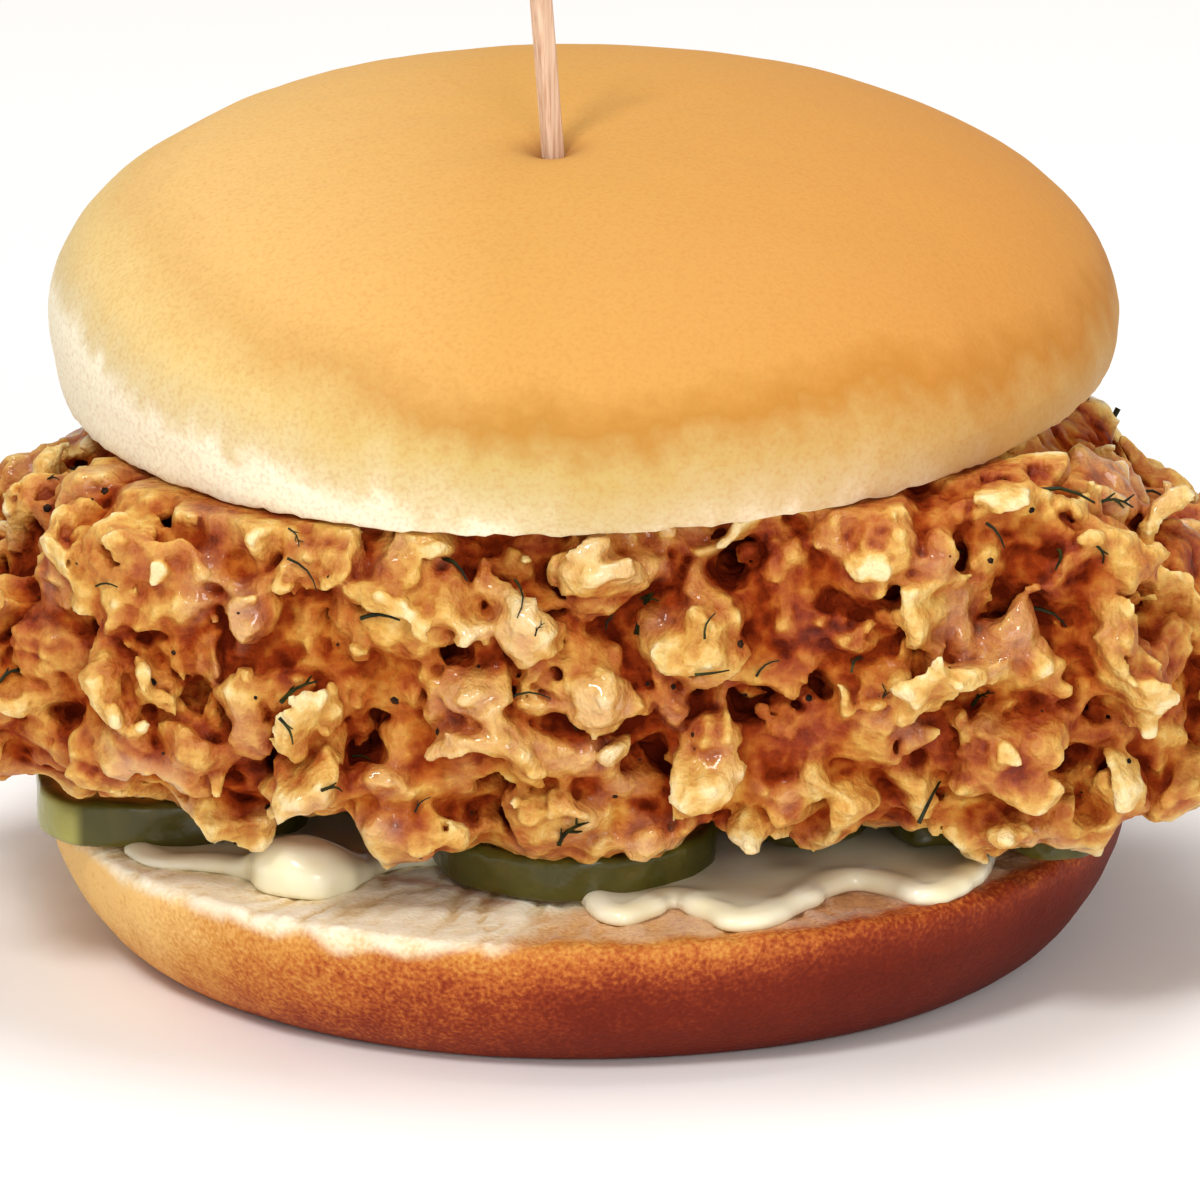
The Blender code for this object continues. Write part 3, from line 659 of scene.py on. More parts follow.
def roughen(field):
    """Lumpy, softly pitted relief in the cells near the skin, calmer under thick glaze."""
    near = np.abs(field.value) < 2.6
    spots = np.argwhere(near).astype(np.float32) * field.cell + field.low
    calm = 1 - 0.45 * glaze_share(spots)
    first, second = cell_noise(spots / 3.4, 21)
    relief = 1.5 * np.abs(soft_noise(spots / 6.5, 7)) + 0.6 * np.abs(soft_noise(spots / 3.1, 9))
    relief += 0.3 * (0.6 - first) + 0.2 * np.minimum(second - first, 0.4)
    relief += calm * waves(spots, (1.9, 0.24, 8), (1.1, 0.2, 6), (0.7, 0.12, 5))
    field.value[near] -= (relief - 0.55).astype(np.float32)


def pickle_distance(x, y, z, sizes, grow=0.0):
    """Millimetres from a slice's skin, at arrays of places."""
    cx, cy, half_width, half_depth, low, thickness, turn, squareness = sizes
    angle = math.radians(turn)
    across = (x - cx) * math.cos(angle) + (y - cy) * math.sin(angle)
    deep = (y - cy) * math.cos(angle) - (x - cx) * math.sin(angle)
    round_off = 0.8
    share = np.abs(across / half_width) ** squareness + np.abs(deep / half_depth) ** squareness
    flat = (share ** (1 / squareness) - 1) * min(half_width, half_depth) + round_off
    tall = np.abs(z - low - thickness / 2) - thickness / 2 + round_off
    outside = np.sqrt(np.maximum(flat, 0) ** 2 + np.maximum(tall, 0) ** 2)
    return outside + np.minimum(np.maximum(flat, tall), 0) - round_off - grow


def fit_between(field):
    """Cuts the fillet flat under the crown and clear of what it lies on."""
    x, y, z = field.places()
    up = crown_turn() @ Vector((0, 0, 1))
    over = (x - CROWN_CENTRE.x) * up.x + (y - CROWN_CENTRE.y) * up.y + (z - CROWN_CENTRE.z) * up.z
    field.value = np.maximum(field.value, over + 0.4)
    field.value = np.maximum(field.value, HEEL_HEIGHT + GAP + SPREAD_THICKNESS + LIP_HEIGHT + GAP - z)
    for sizes in PICKLES:
        ranges = field.block((sizes[0], sizes[1], sizes[4] + 2), max(sizes[2], sizes[3]) + 3)
        spots = field.places(ranges)
        field.value[ranges] = np.maximum(field.value[ranges], -pickle_distance(*spots, sizes, GAP))


def trim_edges(field, places):
    """Takes off what stands above or hangs below the crust's edges, as seen from the front."""
    y, z = places[1:]
    above = (z - LOOK_AT_HEIGHT) * math.cos(VIEW_HEIGHT) + y * math.sin(VIEW_HEIGHT)
    across = field.axes[0]
    low = np.interp(across, *zip(*LOWER_EDGE)).astype(np.float32)[:, None, None]
    high = np.interp(across, *zip(*UPPER_EDGE)).astype(np.float32)[:, None, None]
    for cut in (low - above - 6 * ease(-12, 5, y), above - high):
        near = cut > -3
        field.value[near] = soft_top(field.value[near], cut[near], EDGE_BLEND)


def largest_skin(points, quads):
    """The surface without loose scraps and inner bubbles."""
    parent = np.arange(len(points))
    ends = np.concatenate([quads[:, [0, 1]], quads[:, [1, 2]], quads[:, [2, 3]]])
    before = None
    while before is None or (parent != before).any():
        before = parent.copy()
        one, other = parent[ends[:, 0]], parent[ends[:, 1]]
        low = np.minimum(one, other)
        np.minimum.at(parent, one, low)
        np.minimum.at(parent, other, low)
        parent = parent[parent]
    labels, counts = np.unique(parent, return_counts=True)
    keep = parent == labels[counts.argmax()]
    index = np.cumsum(keep) - 1
    return points[keep], index[quads[keep[quads[:, 0]]]]


def make_fillet(material):
    """The crust in closed pieces side by side, each small enough to keep its detail.

    Each piece runs on a little inside its neighbour, and sinks there, so that no border shows.
    """
    field, places = fillet_field()
    dig_hollows(field, places)
    ragged = warped_places(field, places, FLAKE_WARP, FLAKE_WARP_WAVE, 2, 23)
    flakes = add_flakes(field, ragged)
    trim_edges(field, ragged)
    roughen(field)
    fit_between(field)
    held = np.clip(field.value, -4, 4)
    # How far each place stands out or sinks in, finely and broadly: the crust's finish turns these into
    # painted light on the raised edges and painted shade in the hollows
    fine, broad = blurred(held, 2), blurred(held, 8)
    x = field.places()[0]
    for number, (left, right) in enumerate(zip(BORDERS, BORDERS[1:]), 1):
        past = np.maximum(left - x, x - right)
        sunk = field.value + BORDER_SINK * np.clip(past / BORDER_LAP, 0, 1)
        points, quads = largest_skin(*field.skin(np.maximum(sunk, past - BORDER_LAP)))
        # fine and broad carry the painted light and shade; flake marks the flakes, gold partly as painted
        # light
        attributes = {
            "fine": field.at(fine, points),
            "broad": field.at(broad, points),
            "flake": 1 - ease(-0.5, 0.7, field.at(flakes, points)),
            "glaze": glaze_share(points),
        }
        name = f"fried_chicken_{number}"
        mesh_piece(name, points, quads, material, "fried_chicken", attributes)
    return field


# Dill and pepper


def stalk(bm, course, thickness):
    """A thin square tube that narrows along its course of points."""
    rings = []
    for k, spot in enumerate(course):
        ahead = (course[min(k + 1, len(course) - 1)] - course[max(k - 1, 0)]).normalized()
        turn = ahead.to_track_quat("Z", "Y")
        half = thickness / 2 * (1 - 0.6 * k / (len(course) - 1))
        corners = ((half, half), (-half, half), (-half, -half), (half, -half))
        rings.append([bm.verts.new(spot + turn @ Vector((x, y, 0))) for x, y in corners])
    for low, high in zip(rings, rings[1:]):
        for k in range(4):
            bm.faces.new((low[k], low[(k + 1) % 4], high[(k + 1) % 4], high[k]))
    bm.faces.new(rings[0][::-1])
    bm.faces.new(rings[-1])


def dill_shape(side_leaves, thickness):
    """A dill needle 1 long that lies along X and bends a little, with or without side leaves."""
    bm = bmesh.new()
    shares = (0, 0.25, 0.5, 0.75, 1)
    bends = [math.sin(math.pi * share) for share in shares]
    course = [Vector((share - 0.5, 0.16 * bend, 0.05 * bend)) for share, bend in zip(shares, bends)]
    stalk(bm, course, thickness)
    for start, side in ((1, 1), (2, -1), (3, 1))[:side_leaves]:
        root = course[start]
        tip = root + Vector((0.24, 0.2 * side, 0.03))
        stalk(bm, [root, (root + tip) / 2 + Vector((0.03, 0.03 * side, 0.02)), tip], thickness * 0.7)
    return shape_from(bm)


def pepper_shape():
    """An angular flake of cracked pepper, 1 across."""
    bm = bmesh.new()
    for vert in bmesh.ops.create_icosphere(bm, subdivisions=1, radius=0.5)["verts"]:
        vert.co *= 1 + 0.35 * noise.noise(vert.co * 3.7)
        vert.co.z *= 0.6
    return shape_from(bm)


def shape_from(bm):
    mesh = bpy.data.meshes.new("shape")
    bm.to_mesh(mesh)
    bm.free()
    shape = bpy.data.objects.new("shape", mesh)
    bpy.context.scene.collection.objects.link(shape)
    return shape


def copies_tree():
    """Nodes that put a shape on every point, turned and sized by the point's own values."""
    tree = bpy.data.node_groups.new("copies_on_points", "GeometryNodeTree")
    face = tree.interface
    face.new_socket("Geometry", in_out="INPUT", socket_type="NodeSocketGeometry")
    for label, kind in (("Shape", "Object"), ("Finish", "Material"), ("Scale", "Float"), ("Seed", "Int")):
        face.new_socket(label, in_out="INPUT", socket_type="NodeSocket" + kind)
    face.new_socket("Geometry", in_out="OUTPUT", socket_type="NodeSocketGeometry")
    given = add(tree, "NodeGroupInput").outputs
    shape = add(tree, "GeometryNodeObjectInfo", {"Object": given["Shape"]})
    turn = add(tree, "GeometryNodeInputNamedAttribute", {"Name": "turn"}, data_type="FLOAT_VECTOR")
    size = add(tree, "GeometryNodeInputNamedAttribute", {"Name": "size"}, data_type="FLOAT")
    chances = {2: 0.85, 3: 1.15, "Seed": given["Seed"]}
    scale = add(tree, "FunctionNodeRandomValue", chances, data_type="FLOAT").outputs[1]
    turned_by = add(tree, "FunctionNodeEulerToRotation", {"Euler": turn.outputs["Attribute"]})
    for factor in (size.outputs["Attribute"], given["Scale"]):
        scale = add(tree, "ShaderNodeMath", {0: scale, 1: factor}, operation="MULTIPLY").outputs[0]
    sockets = {
        "Points": given["Geometry"],
        "Instance": shape.outputs["Geometry"],
        "Rotation": turned_by.outputs[0],
        "Scale": scale,
    }
    placed = add(tree, "GeometryNodeInstanceOnPoints", sockets)
    whole = add(tree, "GeometryNodeRealizeInstances", {"Geometry": placed.outputs[0]})
    sockets = {"Geometry": whole.outputs[0], "Material": given["Finish"]}
    dressed = add(tree, "GeometryNodeSetMaterial", sockets)
    add(tree, "NodeGroupOutput", {"Geometry": dressed.outputs[0]})
    return tree


def scatter(name, spots, turns, sizes, shape, finish, seed, tree):
    """One plain mesh of a small shape copied onto many spots (mm)."""
    mesh = bpy.data.meshes.new(name)
    mesh.from_pydata(np.asarray(spots) * MM, [], [])
    mesh.attributes.new("turn", "FLOAT_VECTOR", "POINT").data.foreach_set("vector", np.ravel(turns))
    mesh.attributes.new("size", "FLOAT", "POINT").data.foreach_set("value", np.ravel(sizes))
    maker = bpy.data.objects.new(name + "_points", mesh)
    bpy.context.scene.collection.objects.link(maker)
    modifier = maker.modifiers.new("copies", "NODES")
    modifier.node_group = tree
    given = {"Shape": shape, "Finish": finish, "Scale": MM, "Seed": seed}
    for item in tree.interface.items_tree:
        if item.in_out == "INPUT" and item.name in given:
            modifier[item.identifier] = given[item.name]
    maker.update_tag()
    bpy.context.view_layer.update()
    graph = bpy.context.evaluated_depsgraph_get()
    made = bpy.data.meshes.new_from_object(maker.evaluated_get(graph))
    for used in (maker, shape):
        bpy.data.objects.remove(used)
    piece = bpy.data.objects.new(name, made)
    bpy.context.scene.collection.objects.link(piece)
    for label in ("turn", "size"):
        made.attributes.remove(made.attributes[label])
    made.shade_flat()
    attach(piece, "root")


def lying_turn(out, along):
    """Turn that lays a shape's X along a direction and its Z outwards."""
    up = Vector(out).normalized()
    ahead = (Vector(along) - up * up.dot(Vector(along))).normalized()
    side = up.cross(ahead)
    return tuple(Matrix((ahead, side, up)).transposed().to_euler())


def season(field):
    """Dill and cracked pepper on the crust, where the photo shows them and scattered elsewhere."""
    rng = np.random.default_rng(17)
    up = np.array((0, math.sin(VIEW_HEIGHT), math.cos(VIEW_HEIGHT)))
    leaves = []
    for across, down, angle, length in DILL:
        found = field.hit(across, down)
        if found is not None:
            spot, out = found
            turn = math.radians(angle)
            along = np.array((1, 0, 0)) * math.cos(turn) + up * math.sin(turn)
            leaves.append((spot + out * 0.25, lying_turn(out, along), length / PIXELS_PER_MM * 1.05))
    spots = skin_spots(field, rng, SCATTERED_DILL)[0]
    for spot, out in zip(spots, field.out(spots)):
        if spot[1] > -18 or abs(spot[0]) > 60:
            turn = lying_turn(out, rng.normal(size=3))
            leaves.append((spot + out * 0.2, turn, rng.uniform(*SCATTERED_DILL_LENGTHS)))
    tree = copies_tree()
    finish = dill_finish()
    long = [leaf for leaf in leaves if leaf[2] > LONG_DILL]
    short = [leaf for leaf in leaves if leaf[2] <= LONG_DILL]
    # Each kind's leaves, its side leaves, and its thickness as a share of its length
    kinds = ((long, 0, 0.055), (short[::3], 3, 0.09), (short[1::3], 0, 0.09), (short[2::3], 1, 0.09))
    for number, (chosen, side_leaves, thickness) in enumerate(kinds, 1):
        scatter(f"dill_{number}", *zip(*chosen), dill_shape(side_leaves, thickness), finish, number, tree)
    grains = []
    for across, down in PEPPER:
        found = field.hit(across, down)
        if found is not None:
            grains.append((found[0], lying_turn(found[1], rng.normal(size=3)), rng.uniform(0.6, 0.95)))
    spots = skin_spots(field, rng, SCATTERED_PEPPER)[0]
    for spot, out in zip(spots, field.out(spots)):
        grains.append((spot, lying_turn(out, rng.normal(size=3)), rng.uniform(0.25, 0.6)))
    scatter("cracked_pepper", *zip(*grains), pepper_shape(), pepper_finish(), 5, tree)
    bpy.data.node_groups.remove(tree)


# Bread


def quarter(inner, outer, start, rise, power, steps):
    """(radius, z) pairs along a quarter superellipse, from the widest point to the inner one."""
    points = []
    for k in range(steps + 1):
        turn = math.pi / 2 * k / steps
        across = max(0.0, math.cos(turn)) ** (2 / power)
        along = math.sin(turn) ** (2 / power)
        points.append((inner + (outer - inner) * across, start + rise * along))
    return points


def turned(profile, segments):
    """Points and quads of a turned skin from (radius, z) pairs that start and end on the axis."""
    profile = np.array(profile)
    angles = np.arange(segments) * math.tau / segments
    around = np.stack([np.cos(angles), np.sin(angles)], -1)
    heights = np.broadcast_to(profile[:, None, 1:], (len(profile), segments, 1))
    points = np.concatenate([profile[:, None, :1] * around[None], heights], -1).reshape(-1, 3)
    quads = []
    for k in range(len(profile) - 1):
        here = k * segments + np.arange(segments)
        after = k * segments + (np.arange(segments) + 1) % segments
        quads.append(np.stack([here, after, after + segments, here + segments], -1))
    return points, np.concatenate(quads)


def closed_turned(profile, segments):
    """As turned, with a point at each pole."""
    points, quads = turned(profile[1:-1], segments)
    count = len(points)
    points = np.concatenate([points, [[0, 0, profile[0][1]], [0, 0, profile[-1][1]]]])
    around = np.arange(segments)
    after = (around + 1) % segments
    low = np.stack([after, around, np.full(segments, count)], -1)
    last = count - segments
    high = np.stack([last + around, last + after, np.full(segments, count + 1)], -1)
    return points, quads.tolist() + low.tolist() + high.tolist()


def uneven(points, amount):
    """The same soft unevenness as the solid bun has."""
    moved = points.copy()
    for k, (x, y, z) in enumerate(points):
        radius = math.hypot(x, y)
        if radius < 1e-6:
            continue
        swell = noise.noise(Vector((x / radius, y / radius, z / 30)) * 1.7)
        grow = 1 + swell * amount * min(1.0, radius / 20) / radius
        moved[k] = (x * grow, y * grow, z)
    return moved


def flat_face(outer, height, count):
    """(radius, z) pairs of a flat face between its rim and its middle, from the middle outwards."""
    return [(outer - outer * k / count, height) for k in range(1, count)][::-1]


def make_crown(material):
    """The bun's top: a lopsided dome with a soft dent where the pick goes in."""
    waist = CROWN_SKIRT_HEIGHT
    skirt = quarter(CROWN_CUT_RADIUS, CROWN_RADIUS, waist, -waist, CROWN_SKIRT_POWER, 14)
    dome = quarter(0.0, CROWN_RADIUS, waist, CROWN_DOME_HEIGHT, CROWN_DOME_POWER, 80)
    profile = [(0.0, 0.0)] + flat_face(CROWN_CUT_RADIUS, 0.0, 30) + skirt[::-1] + dome[1:]
    points, faces = closed_turned(profile, 360)
    height = points[:, 2].copy()
    radius = np.hypot(points[:, 0], points[:, 1])
    points = uneven(points, BUN_UNEVENNESS)
    lift = np.maximum(0, points[:, 2] - waist)
    points[:, 0] += CROWN_SHIFT * lift / CROWN_DOME_HEIGHT
    points[:, 2] += lift * CROWN_SLOPE * points[:, 0] / CROWN_RADIUS
    points = points @ np.array(crown_turn()).T + np.array(CROWN_CENTRE)
    outward = points - np.array((0, 0, 60.0))
    outward /= np.linalg.norm(outward, axis=1)[:, None]
    swell = waves(points, (11, 0.22, 51), (4.2, 0.09, 52), (1.6, 0.03, 53)) * ease(0.5, 3.0, height)
    points += outward * swell[:, None]
    cut_side = 1 - ease(0.02, 0.4, height)
    points[:, 2] += cut_side * 0.18 * waves(points, (1.7, 1.0, 54), (0.9, 1.0, 55))
    entry = np.array(PICK_ENTRY)
    away = np.hypot(points[:, 0] - entry[0], points[:, 1] - entry[1])
    upper = height > waist + 6
    dent = np.where(upper, np.exp(-((away / DENT_RADIUS) ** 2)), 0)
    hollow = np.where(upper, np.exp(-((away / DENT_HOLLOW_RADIUS) ** 2)), 0)
    points[:, 2] -= DENT_DEPTH * dent + DENT_HOLLOW_DEPTH * hollow
    angle = np.arctan2(points[:, 1], points[:, 0])
    streak = soft_noise(np.stack([angle * 22, height / 7, 0 * height], -1), 56)
    bake = height + np.interp(points[:, 0], *zip(*CROWN_BAKE))
    bake += waves(points, (14, 1.6, 57), (5, 0.9, 58)) + 1.3 * streak * (1 - ease(9, 14, height))
    cut = cut_side * (radius < CROWN_CUT_RADIUS + 0.05)
    # The dent's share also darkens the finish there, as painted shade round the pick
    attributes = {"bake": bake / CROWN_BAKE_HEIGHT, "dent": dent, "cut": cut}
    mesh_piece("crown_bread", points, faces, material, "crown", attributes)


def distance_to_path(spots, path):
    """Millimetres from places on the cut face to the nearest part of a path."""
    far = np.full(len(spots), 99.0)
    for start, end in zip(path, path[1:]):
        way = np.subtract(end, start)
        share = np.clip((spots - start) @ way / (way @ way), 0, 1)
        far = np.minimum(far, np.linalg.norm(spots - start - share[:, None] * way, axis=1))
    return far


def make_heel(material):
    """The bun's foot, with a wavy crust, a torn rim and wrinkled crumb on its cut face."""
    lip_start = HEEL_HEIGHT - HEEL_LIP
    side = quarter(HEEL_BASE_RADIUS, HEEL_CUT_RADIUS, lip_start, -lip_start, HEEL_SIDE_POWER, 40)
    lip = quarter(HEEL_CUT_RADIUS - HEEL_LIP, HEEL_CUT_RADIUS, lip_start, HEEL_LIP, 2.0, 10)
    base = flat_face(HEEL_BASE_RADIUS, 0.0, 12)
    cut_face = flat_face(HEEL_CUT_RADIUS - HEEL_LIP, HEEL_HEIGHT, 60)[::-1]
    profile = [(0.0, 0.0)] + base + side[::-1] + lip[1:] + cut_face + [(0.0, HEEL_HEIGHT)]
    points, faces = closed_turned(profile, 420)
    height, radius = points[:, 2].copy(), np.hypot(points[:, 0], points[:, 1])
    points = uneven(points, BUN_UNEVENNESS)
    angle = np.arctan2(points[:, 1], points[:, 0])
    crumb = ease(HEEL_HEIGHT - 3.5, HEEL_HEIGHT - 0.6, height) * (radius > 8)
    bent = angle + 0.035 * soft_noise(points / 5, 75)
    streaks = np.stack([bent * 33, radius / 11 - height / 11, 0 * height], -1)
    furrow = 0.5 - np.abs(soft_noise(streaks, 61)) - 0.5 * np.abs(soft_noise(streaks * 2.3, 68))
    furrow = furrow * (0.6 + 0.4 * soft_noise(points / 7, 76))
    torn = 0.8 * furrow + waves(points, (1.5, 0.16, 62), (0.8, 0.1, 63))
    points[:, 2] += crumb * (torn - 0.15)
    wall = ease(0.3, 2.0, height) * (1 - crumb)
    outward = points / np.maximum(radius, 1)[:, None] * np.array((1, 1, 0))
    swell = waves(points, (10, 0.22, 64), (3.5, 0.09, 65), (1.2, 0.04, 66))
    rim = ease(HEEL_HEIGHT - 3.2, HEEL_HEIGHT - 0.3, height)
    ragged = 0.3 * soft_noise(np.stack([angle * 16, radius * 0, height / 4], -1), 67)
    points += outward * (wall * swell + rim * (ragged + 0.5 * torn) * (radius > 50))[:, None]
    across = points[:, 0]
    # Redder towards the foot and paler towards the rim, most of all in the middle and on the right
    below, above = np.minimum(0, height - 9), np.maximum(0, height - 9)
    bake = np.interp(across, *zip(*HEEL_BAKE)) + below * np.interp(across, (-30, -5), (0.016, 0.008))
    bake += above * np.interp(across, (-30, -5, 10), (0.016, 0.048, 0.058))
    bake += waves(points, (9, 0.05, 69), (3.5, 0.04, 70))
    pale = height + 0.9 * soft_noise(points / 4, 73) + 0.4 * soft_noise(streaks, 61) + 0.16 * (52 - radius)
    pale = ease(0.0, 1.8, pale - np.interp(across, *zip(*PALE_FROM)))
    far = distance_to_path(points[:, :2], JUICE) + 0.7 * soft_noise(points / 1.4, 74)
    juice = (1 - ease(0.2, 1.5, far)) * (height > HEEL_HEIGHT - 1)
    toasted = TOASTED * ease(HEEL_HEIGHT - 0.8, HEEL_HEIGHT - 0.3, height)
    toasted *= 1 - ease(51, 53, radius + soft_noise(points / 2, 77))
    # torn also darkens the crumb down in its furrows in the finish, as painted shade
    attributes = {"bake": bake, "pale": np.maximum(pale, toasted), "torn": torn, "juice": juice}
    mesh_piece("heel_bread", points, faces, material, "heel", attributes)


# Mayonnaise, pickles and pick


def smooth_outline(corners, steps):
    """A closed outline through the corners, with this many steps from each to the next."""
    count = len(corners)
    points = []
    for i in range(count):
        before, start, end, after = (Vector(corners[(i + k) % count]) for k in (-1, 0, 1, 2))
        for k in range(steps):
            t = k / steps
            bend = 2 * start + (end - before) * t + (2 * before - 5 * start + 4 * end - after) * t * t
            points.append(0.5 * (bend + (3 * start - before - 3 * end + after) * t**3))
    return np.array([tuple(p) for p in points])


def outline_distance(outline, x, y):
    """Millimetres from a closed outline, below 0 inside, for a grid of x and y."""
    best = np.full(x.shape, 1e9)
    inside = np.zeros(x.shape, bool)
    for (ax, ay), (bx, by) in zip(outline, np.roll(outline, -1, 0)):
        ex, ey = bx - ax, by - ay
        share = np.clip(((x - ax) * ex + (y - ay) * ey) / (ex * ex + ey * ey), 0, 1)
        best = np.minimum(best, (x - ax - share * ex) ** 2 + (y - ay - share * ey) ** 2)
        crosses = (ay > y) != (by > y)
        inside ^= crosses & (x < ax + (y - ay) * ex / np.where(ey == 0, 1e-9, ey))
    return np.sqrt(best) * np.where(inside, -1, 1)


def make_mayonnaise(material):
    """A smeared layer with a thicker lip along its edge, and the dollop at the left."""
    field = Field(*SPREAD_BOX, SPREAD_CELL)
    x, y, z = field.places()
    across, deep = x[:, :, 0], y[:, :, 0]
    flat = outline_distance(smooth_outline(SPREAD_OUTLINE, 5), across, deep).astype(np.float32)
    ground = np.stack([across, deep, 0 * flat], -1)
    flat += 0.35 * soft_noise(ground / 2.6, 71)
    lip = np.exp(-(((flat + 1.7) / 1.5) ** 2))
    from_dollop = (across - DOLLOP[0]) ** 2 + (deep - DOLLOP[1]) ** 2
    dollop = np.exp(-((from_dollop / DOLLOP_RADIUS_SQUARED) ** 1.6))
    thick = SPREAD_THICKNESS + 0.35 + 0.4 * lip + DOLLOP_HEIGHT * dollop + 0.25 * soft_noise(ground / 5, 72)
    thick -= 0.8 * (1 - ease(-42, -33, across))
    round_off = 0.75
    edge = flat[:, :, None] + round_off
    sunk = 0.25
    bottom = HEEL_HEIGHT - sunk
    half = (thick[:, :, None] + sunk) / 2
    tall = np.abs(z - bottom - half) - half + round_off
    outside = np.sqrt(np.maximum(edge, 0) ** 2 + np.maximum(tall, 0) ** 2)
    field.value = (outside + np.minimum(np.maximum(edge, tall), 0) - round_off).astype(np.float32)
    points, quads = largest_skin(*field.skin())
    mesh_piece("mayonnaise_spread", points, quads, material, "mayonnaise")


def make_pickles(material):
    """Slices with a slightly wavy cut; the end of the first shows its paler flesh."""
    for number, sizes in enumerate(PICKLES, 1):
        cx, cy, half_width, half_depth, low, thickness = sizes[:6]
        reach = max(half_width, half_depth) * 1.05 + 1.2
        high_corner = (cx + reach, cy + reach, low + thickness + 1)
        field = Field((cx - reach, cy - reach, low - 1), high_corner, PICKLE_CELL)
        x, y, z = field.places()
        spots = np.stack([x, y, z], -1)
        wobble = 0.22 * soft_noise(spots / 3.2 + number * 7, 81) + 0.08 * soft_noise(spots / 1.2, 82)
        field.value = (pickle_distance(x, y, z, sizes) + wobble + 0.1).astype(np.float32)
        field.value = np.maximum(field.value, low + 0.05 - z)
        points, quads = largest_skin(*field.skin())
        middle = np.full(len(points), low + thickness / 2)
        edge = pickle_distance(points[:, 0], points[:, 1], middle, sizes)
        light_end = (1 - ease(-51.5, -50.0, points[:, 0])) * ease(-0.5, 0.0, edge)
        attributes = {"rind": edge, "light": light_end}
        name = f"pickle_slice_{number}"
        mesh_piece(name, points, quads, material, f"pickle_{number}", attributes)


# Materials: the size of each pattern is the millimetres across one of its blots

BREAD = {
    "Roughness": 0.6,
    "Specular IOR Level": 0.12,
    "Subsurface Weight": 0.1,
    "Subsurface Radius": (1.0, 0.6, 0.3),
    "Subsurface Scale": 2.0 * MM,
}


def per_metre(size):
    """How many blots of this size in millimetres fit in a metre."""
    return 1 / (size * MM)


def bun_crown_finish():
    """Soft wheat bun, egg-washed and baked: matte golden skin, paler at the waist, fine mottling, and
    painted shade in the dent round the pick.
    """
    made, tree, place = new_material("baked_bun_crown")
    bake, dent, cut = (
        add(tree, "ShaderNodeAttribute", attribute_name=label).outputs["Fac"]
        for label in ("bake", "dent", "cut")
    )
    mottle, grain = (
        add(tree, "ShaderNodeTexNoise", {0: place, "Scale": per_metre(size), "Detail": detail}).outputs[0]
        for size, detail in ((1.9231, 3.0), (0.47619, 2.0))
    )
    across = add(tree, "ShaderNodeSeparateXYZ", {0: place}).outputs["X"]
    share = total(tree, -0.125, (mottle, 0.25), (bake, 1.0))
    # Cream at the waist, wheat above it, brown along the shoulder, gold on top
    stops = (
        (0.0, "FBF0D2"), (0.15, "DCCA9E"), (0.3, "D2BC86"), (0.5, "CAAC68"), (0.76, "BA8436"),
        (1.0, "D09A4E"),
    )
    skin = add(tree, "ShaderNodeValToRGB", {0: share}, stops=stops).outputs[0]
    # Less baked on the left, where only the upper part is tinted, and browner on the right
    left, upper, right, specks = (
        add(tree, "ShaderNodeMapRange", {0: value, 1: low, 2: high, 4: most}).outputs[0]
        for value, low, high, most in (
            (across, -0.008, -0.046, 1.0),
            (share, 0.0, 0.4, 0.55),
            (across, -0.006, 0.04, 0.38),
            (grain, 0.45, 0.75, 0.3),
        )
    )
    paler = add(tree, "ShaderNodeMath", {0: left, 1: upper}, operation="MULTIPLY").outputs[0]
    # The dent's dark brown is painted shade where the pick goes in
    tints = ((paler, "F6D28C"), (right, "C8762C"), (specks, "C07A38"), (dent, "8A5226"), (cut, "F2DDB0"))
    relief = total(tree, 0.0, (mottle, 1.0), (grain, 1.0))
    bump = add(tree, "ShaderNodeBump", {"Height": relief, "Strength": 0.3, "Distance": 0.2 * MM}).outputs[0]
    return finished(made, tree, {"Base Color": layered(tree, skin, *tints), "Normal": bump, **BREAD})


def bun_heel_finish():
    """The bun's baked underside: speckled red-brown crust, with a torn pale crumb on its cut face, painted
    darker in its furrows as their shade.
    """
    made, tree, place = new_material("baked_bun_heel")
    bake, pale, torn, juice = (
        add(tree, "ShaderNodeAttribute", attribute_name=label).outputs["Fac"]
        for label in ("bake", "pale", "torn", "juice")
    )
    mottle, speck = (
        add(tree, "ShaderNodeTexNoise", {0: place, "Scale": per_metre(size), "Detail": detail}).outputs[0]
        for size, detail in ((2.38095, 3.0), (0.47619, 2.0))
    )
    both = total(tree, 0.0, (speck, 1.0), (mottle, 0.4))
    level = total(tree, -0.28, (both, 0.4), (bake, 1.0))
    stops = (
        (0.15, "5E1808"), (0.38, "74240F"), (0.5, "90391A"), (0.6, "B8632A"), (0.72, "D29042"),
        (0.95, "F2C478"),
    )
    crust = add(tree, "ShaderNodeValToRGB", {0: level}, stops=stops).outputs[0]
    # The crumb is painted darker down in its furrows, as their shade, and flecked by the specks
    deep = total(tree, 0.0, (torn, 1.0), (speck, 0.5))
    stops = ((0.0, "E6CA98"), (0.15, "F4E2BC"), (0.35, "FCF1D6"))
    crumb = add(tree, "ShaderNodeValToRGB", {0: deep}, stops=stops).outputs[0]
    bare = add(tree, "ShaderNodeMix", {0: pale, 6: crust, 7: crumb}, data_type="RGBA").outputs[2]
    colour = layered(tree, bare, (total(tree, 0.0, (juice, 0.6)), "B4663A"))
    bump = add(tree, "ShaderNodeBump", {"Height": both, "Strength": 0.5, "Distance": 0.3 * MM}).outputs[0]
    return finished(made, tree, {"Base Color": colour, "Normal": bump, **BREAD})


